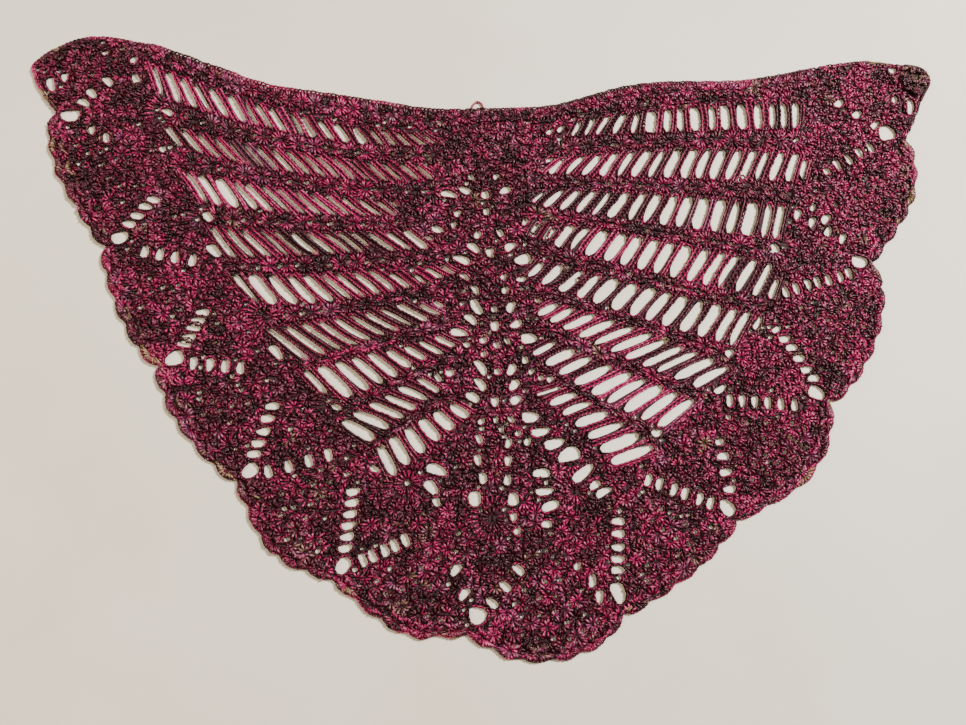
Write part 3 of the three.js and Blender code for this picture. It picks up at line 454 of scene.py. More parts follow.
class Row:
    """One open row: its slits, and the bars that stand between them."""

    def __init__(self, wing, upper, lower, slits):
        self.wing, self.upper, self.lower = wing, upper, lower
        full = [(*slit, 0, 1)[:5] for slit in slits]
        below, above, width, start, stop = np.array(full, float).T
        self.slit_low, self.slit_high = self.place(below, start), self.place(above, stop)
        along = self.slit_high - self.slit_low
        middle = (below + above) / 2
        stretch = self.place(middle + width, 0.5) - self.place(middle, 0.5)
        self.widths = np.abs((stretch * across(along)).sum(1)) * SLIT_SHARES[wing]
        reach = 100 * END_BAR / line_length(three_point_curve(lower, np.linspace(0, 1, 9)))
        ends = width[[0, -1]] / 2 + reach
        first = np.minimum(np.append(start, start[-1]), np.insert(start, 0, start[0]))
        last = np.maximum(np.append(stop, stop[-1]), np.insert(stop, 0, stop[0]))
        self.bar_low = self.place(self.between(below, ends), first)
        self.bar_high = self.place(self.between(above, ends), last)
        self.bows = chance.normal(0, SLIT_BOW, len(slits))
        self.tapers = chance.normal(0, SLIT_TAPER, len(slits)).clip(-0.3, 0.3)
        self.bar_bows = (np.append(self.bows, 0) + np.insert(self.bows, 0, 0)) / 2

    @staticmethod
    def between(shares, ends):
        """The shares midway between the slits, and those of the bars at both ends of the row."""
        inner = (shares[1:] + shares[:-1]) / 2
        return np.concatenate([[shares[0] - ends[0]], inner, [shares[-1] + ends[1]]])

    def place(self, share, rise):
        """Where something is: its share along the row in hundredths, and its share of the way up."""
        rise = np.asarray(rise, float)[..., None]
        low = three_point_curve(self.lower, share / 100)
        high = three_point_curve(self.upper, share / 100)
        return low + (high - low) * rise

    def slit_loops(self, longer, wider, points=12):
        """The edge of each slit, drawn a little longer and wider."""
        along = self.slit_high - self.slit_low
        length = np.linalg.norm(along, axis=1) + longer
        tilt = np.degrees(np.arctan2(along[:, 1], along[:, 0]))
        middle = (self.slit_low + self.slit_high) / 2
        wide = self.widths + wider
        return [oval(*middle[i], length[i], wide[i], tilt[i], points, self.bows[i], self.tapers[i])
                for i in range(len(along))]

    def bar_halves(self):
        """Half the width of the cloth that is left at each bar."""
        middle = (self.slit_low + self.slit_high) / 2
        along = self.slit_high - self.slit_low
        side = across((along[1:] + along[:-1]) / 2)
        pitch = np.abs(((middle[1:] - middle[:-1]) * side).sum(1))
        gap = (pitch - (self.widths[1:] + self.widths[:-1]) / 2) / 2
        return np.concatenate([[END_BAR], gap, [END_BAR]])


ROWS = [Row(**row) for row in OPEN_ROWS]


def ladder_slits(ladder):
    """The slits of a ladder: from where, to where, how many and, where it isn't square, their tilt."""
    if not ladder:
        return []
    start, end, count = np.array(ladder[0], float), np.array(ladder[1], float), ladder[2]
    along = end - start
    tilt = ladder[3] if len(ladder) > 3 else math.degrees(math.atan2(along[1], along[0])) + 90
    return [(*(start + along * i / (count - 1)), *LADDER_SLIT, tilt) for i in range(count)]


def notch_hole(notch):
    along = np.array(notch["at"], float) - notch["root"]
    tilt = math.degrees(math.atan2(along[1], along[0]))
    return (*notch["hole"], notch["reach"], notch["wide"], tilt)


def border_holes():
    holes = [notch_hole(notch) for notch in NOTCHES]
    for notch in NOTCHES:
        holes += ladder_slits(notch["before"]) + ladder_slits(notch["after"])
    return holes


def moved(start, towards, distance):
    """The point that lies a distance from the start on the way to another point."""
    start, towards = np.array(start, float), np.array(towards, float)
    step = towards - start
    return start + step / np.linalg.norm(step) * distance


def wedge_corner(index):
    return moved(NOTCHES[index]["root"], NOTCHES[index]["at"], ROOT_CLEAR)


def edge_middle(index):
    edge = SCALLOPS[index]["edge"]
    return (np.array(edge[1], float) + edge[2]) / 2


def fan_corner(index):
    return moved(SCALLOPS[index]["root"], edge_middle(index), -FAN_ROOT_CLEAR)


def edge_point(index, share):
    """A point on the edge of a scallop, and one well outside it."""
    steps = SCALLOPS[index]["shells"] * 4
    point = scallop_curve(index, steps)[round(share * steps)]
    return [point, moved(point, (0, 0), -OUTSIDE)]


def tip_corner(band, index):
    end = np.array(band[-1], float)
    return end + (wedge_corner(index) - end) * TIP_CORNER_SHARE


def border_line(first, last):
    """The roots of the wedges and fans between two notches."""
    line = []
    for index in range(first, last + 1):
        line.append(wedge_corner(index))
        if index < last:
            line.append(fan_corner(index))
    return line


def wedge_region(index):
    if index == 0:
        part = TIP_PART_LEFT[0]
        start = [tip_corner(BAND_LEFT, 0), part, moved(part, (0, 0), -OUTSIDE)]
    else:
        start = [fan_corner(index - 1), *edge_point(index - 1, 1 - NOTCH_CLEAR)]
    if index == len(NOTCHES) - 1:
        part = TIP_PART_RIGHT[-1]
        end = [tip_corner(BAND_RIGHT, index), *TIP_PART_RIGHT, moved(part, (0, 0), -OUTSIDE)]
    else:
        end = [fan_corner(index), *edge_point(index, NOTCH_CLEAR)]
    return [wedge_corner(index), *start, *end[::-1]]


def fan_region(index):
    near, near_out = edge_point(index, NOTCH_CLEAR)
    far, far_out = edge_point(index, 1 - NOTCH_CLEAR)
    middle_out = moved(edge_middle(index), (0, 0), -2 * OUTSIDE)
    return [fan_corner(index), near, near_out, middle_out, far_out, far]


LAST = len(NOTCHES) - 1
REGIONS = {
    "neck_band_left": [*BAND_LEFT, (-432, 460), (-26, 460)],
    "neck_band_right": [*BAND_RIGHT, (396, 460), (-26, 460)],
    "spine": [(-26, 258), *SPINE_LEFT, wedge_corner(POINT_NOTCH), *SPINE_RIGHT[::-1]],
    "wing_left": [*BAND_LEFT[1:], *border_line(0, POINT_NOTCH - 1), fan_corner(POINT_NOTCH - 1),
                  *SPINE_LEFT[::-1]],
    "wing_right": [*BAND_RIGHT[1:], *border_line(POINT_NOTCH + 1, LAST)[::-1],
                   fan_corner(POINT_NOTCH), *SPINE_RIGHT[::-1]],
    "tip_left": [BAND_LEFT[-1], tip_corner(BAND_LEFT, 0), *TIP_PART_LEFT, (-640, 290),
                 (-640, 460), (-432, 460)],
    "tip_right": [BAND_RIGHT[-1], tip_corner(BAND_RIGHT, LAST), *TIP_PART_RIGHT, (640, 240),
                  (640, 460), (396, 460)],
    **{f"wedge_{i + 1}": wedge_region(i) for i in range(len(NOTCHES))},
    **{f"fan_{i + 1}": fan_region(i) for i in range(len(SCALLOPS))},
}


class Floorplan:
    """A grid of 1 mm cells over the shawl, which says what lies where."""

    left, low, wide, tall = -565, -370, 1130, 740

    def __init__(self, kind, value=0):
        self.cells = np.full((self.tall, self.wide), value, kind)

    def fill(self, polygon, value):
        polygon = np.asarray(polygon, float) - (self.left, self.low)
        after = np.roll(polygon, -1, 0)
        first = max(0, int(polygon[:, 1].min()))
        last = min(self.tall - 1, int(polygon[:, 1].max()) + 1)
        for row in range(first, last + 1):
            y = row + 0.5
            crosses = (polygon[:, 1] <= y) != (after[:, 1] <= y)
            a, b = polygon[crosses], after[crosses]
            spots = np.sort(a[:, 0] + (y - a[:, 1]) * (b[:, 0] - a[:, 0]) / (b[:, 1] - a[:, 1]))
            for start, stop in zip(spots[::2], spots[1::2]):
                start, stop = max(0, round(start)), max(0, round(stop))
                self.cells[row, start:stop] = value

    def at(self, points):
        points = np.asarray(points, float)
        column = np.clip((points[..., 0] - self.left).astype(int), 0, self.wide - 1)
        row = np.clip((points[..., 1] - self.low).astype(int), 0, self.tall - 1)
        return self.cells[row, column]


outline = whole_outline()
sections = Floorplan(np.int16, 0)
SECTION_NAMES = list(REGIONS)
for number, name in enumerate(SECTION_NAMES):
    sections.fill(REGIONS[name], number + 1)
cloth = Floorplan(bool, False)
cloth.fill(outline, True)
sections.cells[~cloth.cells] = 0
free = Floorplan(bool, False)
free.cells[:] = cloth.cells
covered = Floorplan(bool, False)


def number_of(name):
    """The number that the cells of a section hold."""
    return SECTION_NAMES.index(name) + 1


def wave(points):
    """The gentle lift of the cloth off the floor."""
    x, y = points[..., 0], points[..., 1]
    swell = np.sin(x / 61 + y / 47) + 0.7 * np.sin(x / 29 - y / 83 + 1.3)
    swell = swell + 0.6 * np.sin(y / 23 + x / 140)
    return 0.35 + 0.15 * swell


# Where the dyed colours lie on the yarn: 0 is dark, the middle crimson and pink, 1 is tan.
DARK, MAROON, WINE, CRIMSON, PINK, MAUVE, TAUPE, TAN = 0.0, 0.14, 0.3, 0.45, 0.6, 0.74, 0.88, 1.0
DYES = np.array([DARK, MAROON, WINE, CRIMSON, PINK, MAUVE, TAUPE, TAN])
# How common each dye is on the left, on the right, along the edging, in the bars and in the fold.
DYE_LEFT = np.array([22, 28, 24, 14, 4, 6, 2, 0], float)
DYE_RIGHT = np.array([11, 21, 22, 24, 11, 9, 3, 0], float)
DYE_EDGE = np.array([14, 22, 20, 18, 6, 8, 8, 4], float)
DYE_BAR = np.array([8, 24, 34, 26, 4, 4, 0, 0], float)
DYE_FOLD = np.array([70, 16, 2, 0, 0, 0, 12, 0], float)
STITCHES_PER_DYE = 4.5
DYE_STRAY = 0.045
# How much more common each dye is in the pink patches than in the rest.
PATCH_SHIFT = np.array([0.75, 0.8, 0.95, 1.3, 1.5, 0.9, 0.75, 0.6])


def patch(place):
    """From -1 where the yarn is brown to 1 where it is pink, in patches a few centimetres wide."""
    x, y = place
    return float(np.clip(math.sin(x / 19 + y / 31) + math.sin(y / 17 - x / 43 + 1.1), -1, 1))


def dye_along(points, weights=None):
    """The dye of each stitch of a row, in runs, as the yarn was dyed."""
    count = len(points)
    if count == 0:
        return np.zeros(0)
    run = np.cumsum(chance.random(count) < 1 / STITCHES_PER_DYE)
    share = np.clip(points[:, 0] / 400, 0, 1)
    dyes = np.zeros(count)
    for number in range(run.max() + 1):
        members = run == number
        if not members.any():
            continue
        right = share[members].mean()
        weight = DYE_LEFT * (1 - right) + DYE_RIGHT * right if weights is None else weights
        weight = weight * PATCH_SHIFT ** patch(points[members].mean(0))
        dyes[members] = chance.choice(DYES, p=weight / weight.sum())
    return np.clip(dyes + chance.normal(0, DYE_STRAY, count), 0, 1)


class Stitches:
    """Strands of yarn gathered for one piece. A run holds strands with the same number of points."""

    def __init__(self):
        self.runs = []

    def add(self, points, radius, sides, dye, tone=1.0):
        """Adds strands along lines of points, with their dye and the painted shade and highlight at each
        point, which each strand's random tone scales.
        """
        points = np.asarray(points, float)
        count, steps = points.shape[:2]
        if count == 0:
            return
        radius = np.broadcast_to(np.asarray(radius, float), (count, steps))
        dye = np.asarray(dye, float)
        dye = np.broadcast_to(dye[:, None] if dye.ndim == 1 else dye, (count, steps))
        tone = np.broadcast_to(np.asarray(tone, float), (count, steps))
        tone = tone * chance.uniform(*TONE_RANGE, count)[:, None]
        self.runs.append((points, radius, sides, dye, tone))

    def build(self, name):
        """One mesh of all the strands: a tube with closed ends round each line of points."""
        coordinates, quads, dyes, lights_and_tones, layout = [], [], [], [], []
        start = 0
        for points, radius, sides, dye, tone in self.runs:
            count, steps = points.shape[:2]
            along = np.gradient(points, axis=1)
            along /= np.maximum(np.linalg.norm(along, axis=2, keepdims=True), 1e-9)
            side = np.cross(along, (0.0, 0.0, 1.0))
            length = np.linalg.norm(side, axis=2, keepdims=True)
            side = np.where(length > 0.05, side / np.maximum(length, 1e-9), (1.0, 0.0, 0.0))
            up = np.cross(side, along)
            angle = (np.arange(sides) + 0.5) / sides * 2 * math.pi
            ring = (np.cos(angle)[:, None] * side[:, :, None, :]
                    + np.sin(angle)[:, None] * up[:, :, None, :])
            body = points[:, :, None, :] + ring * radius[:, :, None, None]
            coordinates.append(body.reshape(-1, 3))
            dyes.append(np.repeat(dye.reshape(-1), sides))
            lights_and_tones.append(np.repeat(tone.reshape(-1), sides))
            index = start + np.arange(count * steps * sides).reshape(count, steps, sides)
            around = np.roll(index, -1, 2)
            wall = np.stack([index[:, :-1], around[:, :-1], around[:, 1:], index[:, 1:]], -1)
            quads.append(wall.reshape(-1, 4))
            reach = np.concatenate([np.zeros((count, 1)), np.cumsum(
                np.linalg.norm(np.diff(points, axis=1), axis=2), axis=1)], 1)
            turn = np.arange(sides) / sides
            near = np.broadcast_to(reach[:, :-1, None], (count, steps - 1, sides))
            far = np.broadcast_to(reach[:, 1:, None], (count, steps - 1, sides))
            here = np.broadcast_to(turn, near.shape)
            beyond = here + 1 / sides
            flat = np.stack([np.stack([near, here], -1), np.stack([near, beyond], -1),
                             np.stack([far, beyond], -1), np.stack([far, here], -1)], -2)
            layout.append(flat.reshape(-1, 2))
            for ring_number, order in ((0, -1), (steps - 1, 1)):
                cap = index[:, ring_number, ::order]
                for corner in range(1, sides - 1, 2):
                    quads.append(cap[:, [0, corner, corner + 1, min(corner + 2, sides - 1)]])
                    layout.append(np.zeros((count * 4, 2)))
            start += count * steps * sides
        coordinates = np.vstack(coordinates)
        coordinates[:, 2] += wave(coordinates)
        coordinates[:, 2] = np.maximum(coordinates[:, 2], 0.02)
        coordinates[:, :2] -= CHART_MIDDLE
        return joined_mesh(name, coordinates * MM, np.vstack(quads), np.concatenate(dyes),
                           np.concatenate(lights_and_tones), np.vstack(layout) * [MM, 1])


def joined_mesh(name, coordinates, quads, dyes, lights_and_tones, layout):
    """A piece with its dye and its painted shade and highlight at each point, and a layout along and
    round the yarn.
    """
    mesh = bpy.data.meshes.new(name)
    mesh.vertices.add(len(coordinates))
    mesh.vertices.foreach_set("co", coordinates.astype(np.float32).ravel())
    mesh.loops.add(quads.size)
    mesh.loops.foreach_set("vertex_index", quads.astype(np.int32).ravel())
    mesh.polygons.add(len(quads))
    mesh.polygons.foreach_set("loop_start", np.arange(0, quads.size, 4, dtype=np.int32))
    mesh.polygons.foreach_set("use_smooth", np.ones(len(quads), bool))
    mesh.attributes.new("dye", "FLOAT", "POINT").data.foreach_set("value", dyes.astype(np.float32))
    mesh.attributes.new("tone", "FLOAT", "POINT").data.foreach_set("value", lights_and_tones.astype(np.float32))
    mesh.uv_layers.new(name="yarn").uv.foreach_set("vector", layout.astype(np.float32).ravel())
    mesh.update(calc_edges=True)
    piece = bpy.data.objects.new(name, mesh)
    bpy.context.scene.collection.objects.link(piece)
    return piece


pieces = {name: Stitches() for name in SECTION_NAMES}


def with_height(flat, height):
    """Points of the chart, each with its height off the floor."""
    return np.concatenate([flat, np.broadcast_to(height, flat.shape[:-1])[..., None]], -1)


def mark_covered(start, end, reach=2.0):
    """Marks the cells under straight stitches as covered."""
    for share in np.linspace(0, 1, 7):
        spot = start + (end - start) * share
        for dx in np.arange(-reach, reach + 1):
            for dy in np.arange(-reach, reach + 1):
                if dx * dx + dy * dy <= reach * reach:
                    column = np.clip((spot[:, 0] + dx - covered.left).astype(int), 0, covered.wide - 1)
                    row = np.clip((spot[:, 1] + dy - covered.low).astype(int), 0, covered.tall - 1)
                    covered.cells[row, column] = True


def chained_bars(piece, start, end, dye, half, bow):
    """Bars: chains of V-shaped links, from each start to each end."""
    links = max(4, round(np.linalg.norm(end - start, axis=1).mean() / BAR_LINK))
    share = np.arange(links + 1) / links
    side = across(end - start)[:, None]
    line = start[:, None] + (end - start)[:, None] * share[None, :, None]
    line = line + side * (bow * np.sin(np.pi * share))[..., None]
    at, along = line[:, :-1], np.diff(line, axis=1)
    spread = np.clip(half - BAR_YARN * 0.8, 0.8, 3.4)[:, None, None]
    spread = spread * chance.uniform(0.8, 1.15, (*at.shape[:2], 1))
    for turn in (-1, 1):
        points = np.stack([at + along * run + side * spread * turn * out for run, out in LINK_SHAPE], 2)
        height = BAR_HEIGHTS + chance.normal(0, 0.15, (*at.shape[:2], 4))
        body = with_height(points, height).reshape(-1, 4, 3)
        piece.add(body, BAR_YARN, 4, np.repeat(dye, links), BAR_PAINTED_LIGHT)
    mark_covered(start, end, 3.0)


def slanted(piece, start, end, dye):
    """Short strands that overlap along a path, each a little across it, as wound yarn lies."""
    along = end - start
    side = across(along) * 0.5
    points = np.stack([start - side - along * 0.15, (start + end) / 2, end + side + along * 0.3], 1)
    height = WOUND_HEIGHTS + chance.normal(0, 0.2, (len(start), 3))
    piece.add(with_height(points, height), FINE_YARN, 4, dye, WOUND_PAINTED_LIGHT)
    mark_covered(start, end, 1.5)


def rays(piece, node, tip, dye, lift=0.0, yarn=RAY_YARN):
    """Single strands from each node to its tip."""
    along = tip - node
    bow = across(along) * chance.normal(0, 0.5, len(node))[:, None]
    points = (node[:, None] + along[:, None] * RAY_SHARES[None, :, None]
              + bow[:, None] * np.sin(np.pi * RAY_SHARES)[None, :, None])
    height = lift + RAY_HEIGHTS + chance.normal(0, 0.28, (len(node), 4))
    piece.add(with_height(points, height), yarn * RAY_TAPER, 4, dye, RAY_PAINTED_LIGHT)
    mark_covered(node + along * 0.14, tip, 1.5)


def wraps(piece, node, tip, dye, lift=0.0):
    """Yarn wound over some of the rays, at a slant."""
    along = tip - node
    length = np.maximum(np.linalg.norm(along, axis=1, keepdims=True), 1e-6)
    unit, side = along / length, across(along)
    middle = node + along * chance.uniform(0.4, 0.85, (len(node), 1))
    lean = chance.choice((-1.0, 1.0), (len(node), 1))
    reach = unit * 1.5 + side * lean * 1.3
    points = np.stack([middle - reach, middle, middle + reach], 1)
    height = lift + WRAP_HEIGHTS + chance.normal(0, 0.2, (len(node), 3))
    piece.add(with_height(points, height), WRAP_YARN, 4, dye, WRAP_PAINTED_LIGHT)


def tip_loops(piece, node, tip, dye, lift=0.0, width=3.0):
    """The loop that closes the head of a stitch, across its tip."""
    along = tip - node
    unit = along / np.maximum(np.linalg.norm(along, axis=1, keepdims=True), 1e-6)
    side = across(along)
    lean = chance.normal(0, 0.7, (len(node), 1))
    points = np.stack([tip - side * width * 0.55 - unit * (0.9 + lean), tip + unit * 0.6,
                       tip + side * width * 0.55 - unit * (0.9 - lean)], 1)
    height = lift + LOOP_HEIGHTS + chance.normal(0, 0.2, (len(node), 3))
    piece.add(with_height(points, height), FINE_YARN, 4, dye, LOOP_PAINTED_LIGHT)


def bursts(name, nodes, tips, weights=None, lift=0.0, inside_only=True):
    """Stitches that spread from each node to its tips, shortened where a hole is in the way."""
    piece = pieces[name]
    start, end = np.repeat(nodes, tips.shape[1], 0), tips.reshape(-1, 2)
    reach = np.zeros(len(start))
    for share in SHORTER[::-1]:
        spot = start + (end - start) * share
        open_way = free.at(spot) & free.at(start + (end - start) * share * 0.6)
        reach[open_way] = share
    keep = reach > 0
    if inside_only:
        keep &= sections.at(start + (end - start) * 0.5) == number_of(name)
    start, end, reach = start[keep], end[keep], reach[keep][:, None]
    if len(start) == 0:
        return
    end = start + (end - start) * reach
    dye = dye_along(start, weights)
    rays(piece, start, end, dye, lift)
    some = chance.random(len(start)) < WRAP_SHARE
    wraps(piece, start[some], end[some], np.roll(dye, 2)[some], lift)
    some = chance.random(len(start)) < LOOP_SHARE
    tip_loops(piece, start[some], end[some], np.roll(dye, -3)[some], lift)


def row_bursts(name, top, bottom, count, each=13):
    """A row of nodes between two edges, with rays all the way round to the edges and each other."""
    share = (np.arange(count) + 0.5) / count
    nodes = bottom(share) * 0.52 + top(share) * 0.48
    nodes += chance.normal(0, 0.7, nodes.shape)
    angle = (np.arange(each) + 0.5) / each * 2 * math.pi + chance.normal(0, 0.06, (count, each))
    sideways = (share[:, None] + np.cos(angle) * 0.56 / count).ravel()
    rise = np.abs(np.sin(angle)).ravel()[:, None] ** 0.8
    middle = (top(sideways) + bottom(sideways)) / 2
    edge_at = np.where(np.sin(angle).ravel()[:, None] > 0, top(sideways), bottom(sideways))
    tips = middle + (edge_at - middle) * rise
    bursts(name, nodes, tips.reshape(count, each, 2))


def ring_bursts(name, centre, first, rise, pitch, each, rings, reach):
    """Rings of stars round a root, each ring half a step on from the last."""
    for ring in range(rings):
        radius = first + ring * rise
        count = max(6, round(2 * math.pi * radius / pitch))
        nodes = np.array(centre, float) + ring_of(count, 0.5 * (ring % 2)) * radius
        nodes += chance.normal(0, 1.9, nodes.shape)
        inside = (sections.at(nodes) == number_of(name)) & free.at(nodes)
        all_round(name, nodes[inside], reach, each)


def all_round(name, nodes, reach, each=10, weights=None, lift=0.0, inside_only=True):
    """Stitches that spread all the way round each node."""
    turn = chance.random(len(nodes)) * 2 * math.pi
    angle = turn[:, None] + np.arange(each) / each * 2 * math.pi
    angle = angle + chance.normal(0, 0.1, angle.shape)
    length = reach * chance.uniform(0.75, 1.2, (len(nodes), each))
    tips = nodes[:, None] + np.stack([np.cos(angle), np.sin(angle)], 2) * length[..., None]
    bursts(name, nodes, tips, weights, lift, inside_only)


def scattered_bursts(name, pitch=17.0, reach=9.5):
    """Stars of stitches wherever a wide patch of the section is still bare."""
    disc = np.vstack([ring_of(8) * radius for radius in (2.5, 5, 7)])
    columns = np.arange(free.left, free.left + free.wide, pitch / 3)
    rows = np.arange(free.low, free.low + free.tall, pitch / 3)
    grid = np.stack(np.meshgrid(columns, rows), -1).reshape(-1, 2)
    grid = grid[(sections.at(grid) == number_of(name)) & free.at(grid)]
    for node in grid + chance.normal(0, 1.0, grid.shape):
        around = node + disc
        bare = free.at(around) & ~covered.at(around)
        if bare.mean() > 0.7:
            all_round(name, node[None], reach)


def bare_cells(name):
    """The rows, columns and middles of the cells of a section that no stitch covers."""
    inside = sections.cells == number_of(name)
    rows, columns = np.nonzero(inside & free.cells & ~covered.cells)
    return rows, columns, np.stack([columns + free.left + 0.5, rows + free.low + 0.5], 1)


def small_gaps(name):
    """Small gaps in the cloth where the stitches leave it bare."""
    ring = ring_of(8) * GAP_RADIUS
    _, _, spots = bare_cells(name)
    gaps = []
    for spot in chance.permutation(spots):
        around = spot + ring
        bare = (free.at(around) & ~covered.at(around)).all() and not edge_zone.at(spot)
        alone = all(math.dist(spot, gap[:2]) > GAP_APART for gap in gaps)
        if bare and alone and chance.random() < GAP_SHARE:
            size = chance.uniform(*GAP_SIZES)
            gaps.append((*spot, size * 1.25, size, chance.uniform(0, 180)))
            mark_covered(spot[None], spot[None], GAP_PITCH)
    return gaps


def fill_gaps(name, step=3):
    """Single strands over what is still bare, each along the longest bare way."""
    rows, columns, spots = bare_cells(name)
    spots = spots[(columns % step == 0) & (rows % step == 0)]
    angles = np.linspace(0, math.pi, 6, endpoint=False)
    ways = np.stack([np.cos(angles), np.sin(angles)], 1)
    run = np.linspace(-3.4, 3.4, 7)
    lines = ways[:, None] * run[None, :, None]
    starts, ends = [], []
    for spot in chance.permutation(spots):
        line = spot + lines
        clear = (free.at(line) & ~covered.at(line)).mean(1) - chance.random(6) * 0.1
        best = int(np.argmax(clear))
        if clear[best] < 0.64 or not free.at(line[best][[0, 3, 6]]).all():
            continue
        starts.append(line[best][0])
        ends.append(line[best][-1])
        mark_covered(starts[-1][None], ends[-1][None], 1.4)
    if starts:
        starts, ends = np.array(starts), np.array(ends)
        order = np.lexsort((starts[:, 0], starts[:, 1] // 8))
        starts, ends = starts[order], ends[order]
        dye = dye_along(starts)
        points = np.stack([starts, (starts + ends) / 2 + chance.normal(0, 0.4, starts.shape), ends], 1)
        height = SINGLE_HEIGHTS + chance.normal(0, 0.35, (len(starts), 3))
        pieces[name].add(with_height(points, height), FINE_YARN, 4, dye, SINGLE_PAINTED_LIGHT)


def chain(piece, line, width=1.5, lift=2.9, yarn=FINE_YARN, link=CHAIN, weights=None):
    """A row of V-shaped links along a line."""
    count = max(2, round(line_length(line) / link))
    spots = even_points(line, count)
    spots = spots + chance.normal(0, CHAIN_STRAY, spots.shape)
    at, along = spots[:-1], np.diff(spots, axis=0)
    side = across(along)
    dye = dye_along(at, weights)
    spread = width * chance.uniform(0.8, 1.2, (count, 1))
    for turn in (-1, 1):
        points = np.stack([at + along * run + side * spread * turn * out for run, out in LINK_SHAPE], 1)
        piece.add(with_height(points, lift + LINK_RISES), yarn, 4, dye, LINK_PAINTED_LIGHT)
    mark_covered(at, spots[1:], 1.5)


def rim(name, x, y, length, width, tilt, step=3.6):
    """Wound yarn round a hole."""
    perimeter = math.pi * (length + width) / 2 * 1.05
    loop = hole_loop(x, y, length + 2.6, width + 2.6, tilt, max(6, round(perimeter / step)))
    after = np.roll(loop, -1, 0)
    slanted(pieces[name], loop, after, dye_along(loop))


def open_row(row):
    """The bars of an open row, and the yarn wound round the ends of its slits."""
    piece = pieces[f"wing_{row.wing}_bars"]
    low, high = row.bar_low, row.bar_high
    along = high - low
    lean = across(along) * chance.normal(0, 0.6, (len(low), 1))
    chained_bars(piece, low - along * 0.06 + lean, high + along * 0.06 - lean, dye_along(low, DYE_BAR),
                 row.bar_halves(), (row.bar_bows + chance.normal(0, 0.4, len(low)))[:, None])
    for loop in row.slit_loops(2.8, 2.4, 20):
        for first in (-3, 7):
            arc = loop[np.arange(first, first + 7, 2) % 20]
            slanted(piece, arc[:-1], arc[1:], dye_along(arc[:-1]))


def block(loop):
    free.fill(loop, False)


def wing_rows(side):
    return [row for row in ROWS if row.wing == side]


def net_holes():
    """The small gaps in the net of the fans and tips, midway between the nodes of each ring."""
    holes = []
    places = [(f"fan_{i + 1}", scallop["root"]) for i, scallop in enumerate(SCALLOPS)]
    around = ring_of(8) * NET_CLEAR
    for name, root in places + list(TIP_ROOTS.items()):
        for ring in range(12):
            radius = NET_FIRST + ring * NET_RISE
            count = max(6, round(2 * math.pi * radius / NET_PITCH))
            spots = np.array(root, float) + ring_of(count, 0.5 + 0.5 * (ring % 2)) * radius
            spots += chance.normal(0, 0.9, spots.shape)
            inside = sections.at(spots) == number_of(name)
            for spot in spots[inside & (chance.random(count) < NET_OPEN)]:
                if free.at(spot + around).all() and not edge_zone.at(spot):
                    size = chance.uniform(*NET_SIZES)
                    holes.append((*spot, size * 1.15, size * 0.9, chance.uniform(0, 180)))
    return holes


def make_holes():
    """Keeps the stitches out of the holes, and winds yarn round each hole."""
    under_fold = [(hole[0] + FOLD_STEP[0], hole[1] + FOLD_STEP[1], *hole[2:]) for hole in FOLD_HOLES]
    known = STARS + LONE_HOLES + under_fold + border_holes() + band_holes()
    for hole in known:
        block(hole_loop(*widened(hole, HOLE_ROOM)))
    for row in ROWS:
        for loop in row.slit_loops(HOLE_ROOM, HOLE_ROOM, 14):
            block(loop)
        inner = (row.bar_high - row.bar_low) * 0.12
        low, high = row.bar_low + inner, row.bar_high - inner
        for i in range(len(low) - 1):
            block([low[i], low[i + 1], high[i + 1], high[i]])
    net = net_holes()
    for hole in net:
        block(hole_loop(*widened(hole, NET_ROOM), 8))
    for hole in known + net:
        number = int(sections.at(np.array(hole[:2])))
        if number:
            rim(SECTION_NAMES[number - 1], *hole)
    return known + net


def level_with(curve, xs):
    """The points of a row's edge at the given x."""
    line = three_point_curve(curve, np.linspace(-0.4, 1.4, 91))
    order = np.argsort(line[:, 0])
    return np.stack([xs, np.interp(xs, line[order, 0], line[order, 1])], -1)


def band_lines(above, below):
    """The two edges of the solid stitches between two open rows, and how far they run."""
    ends = [above.lower[0][0], below.upper[0][0], above.lower[-1][0], below.upper[-1][0]]
    start, stop = (min(ends), max(ends)) if above.wing == "right" else (max(ends), min(ends))

    def top(share):
        return level_with(above.lower, start + (stop - start) * np.asarray(share, float)) - (0, 1)

    def bottom(share):
        return level_with(below.upper, start + (stop - start) * np.asarray(share, float)) + (0, 1)

    return top, bottom, abs(stop - start)


def band_holes():
    """The small gaps between the stars of the solid stitches, midway between two open rows."""
    holes = []
    for side, few in (("left", 0.8), ("right", 0.45)):
        rows = wing_rows(side)
        for above, below in zip(rows, rows[1:]):
            top, bottom, length = band_lines(above, below)
            count = round(length / STAR_PITCH)
            share = np.arange(1, count) / count
            spots = (top(share) + bottom(share)) / 2 + chance.normal(0, 0.8, (count - 1, 2))
            room = (top(share) - bottom(share))[:, 1]
            for spot in spots[(room > 17) & (chance.random(count - 1) < few)]:
                length, width = chance.uniform(4.5, 7), chance.uniform(3.6, 5)
                holes.append((*spot, length, width, chance.uniform(0, 180)))
    return holes


def make_wings():
    """The bars of the open rows, and a row of stars between each two of them."""
    for side in ("left", "right"):
        rows = wing_rows(side)
        for row in rows:
            open_row(row)
        for above, below in zip(rows, rows[1:]):
            top, bottom, length = band_lines(above, below)
            row_bursts(f"wing_{side}", top, bottom, round(length / STAR_PITCH))


def neck_lines(side):
    """The lower line of the neck band and the neck edge above it, from the middle outwards."""
    if side == "left":
        band, edge = spline(BAND_LEFT, 80), spline(NECK_LEFT[1:], 80)[::-1][1:]
    else:
        band, edge = spline(BAND_RIGHT, 80), spline(NECK_RIGHT[:-1], 80)
    edge = np.vstack([NECK_MIDDLE, edge])
    keep = (edge[:, 0] > NECK_ENDS[0]) & (edge[:, 0] < NECK_ENDS[1])
    return even_points(band, 80), even_points(edge[keep], 80)


def along_line(line):
    """Gives the points at shares of the way along a line."""
    share = np.linspace(0, 1, len(line))
    return lambda at: np.stack([np.interp(at, share, line[:, axis]) for axis in range(2)], 1)


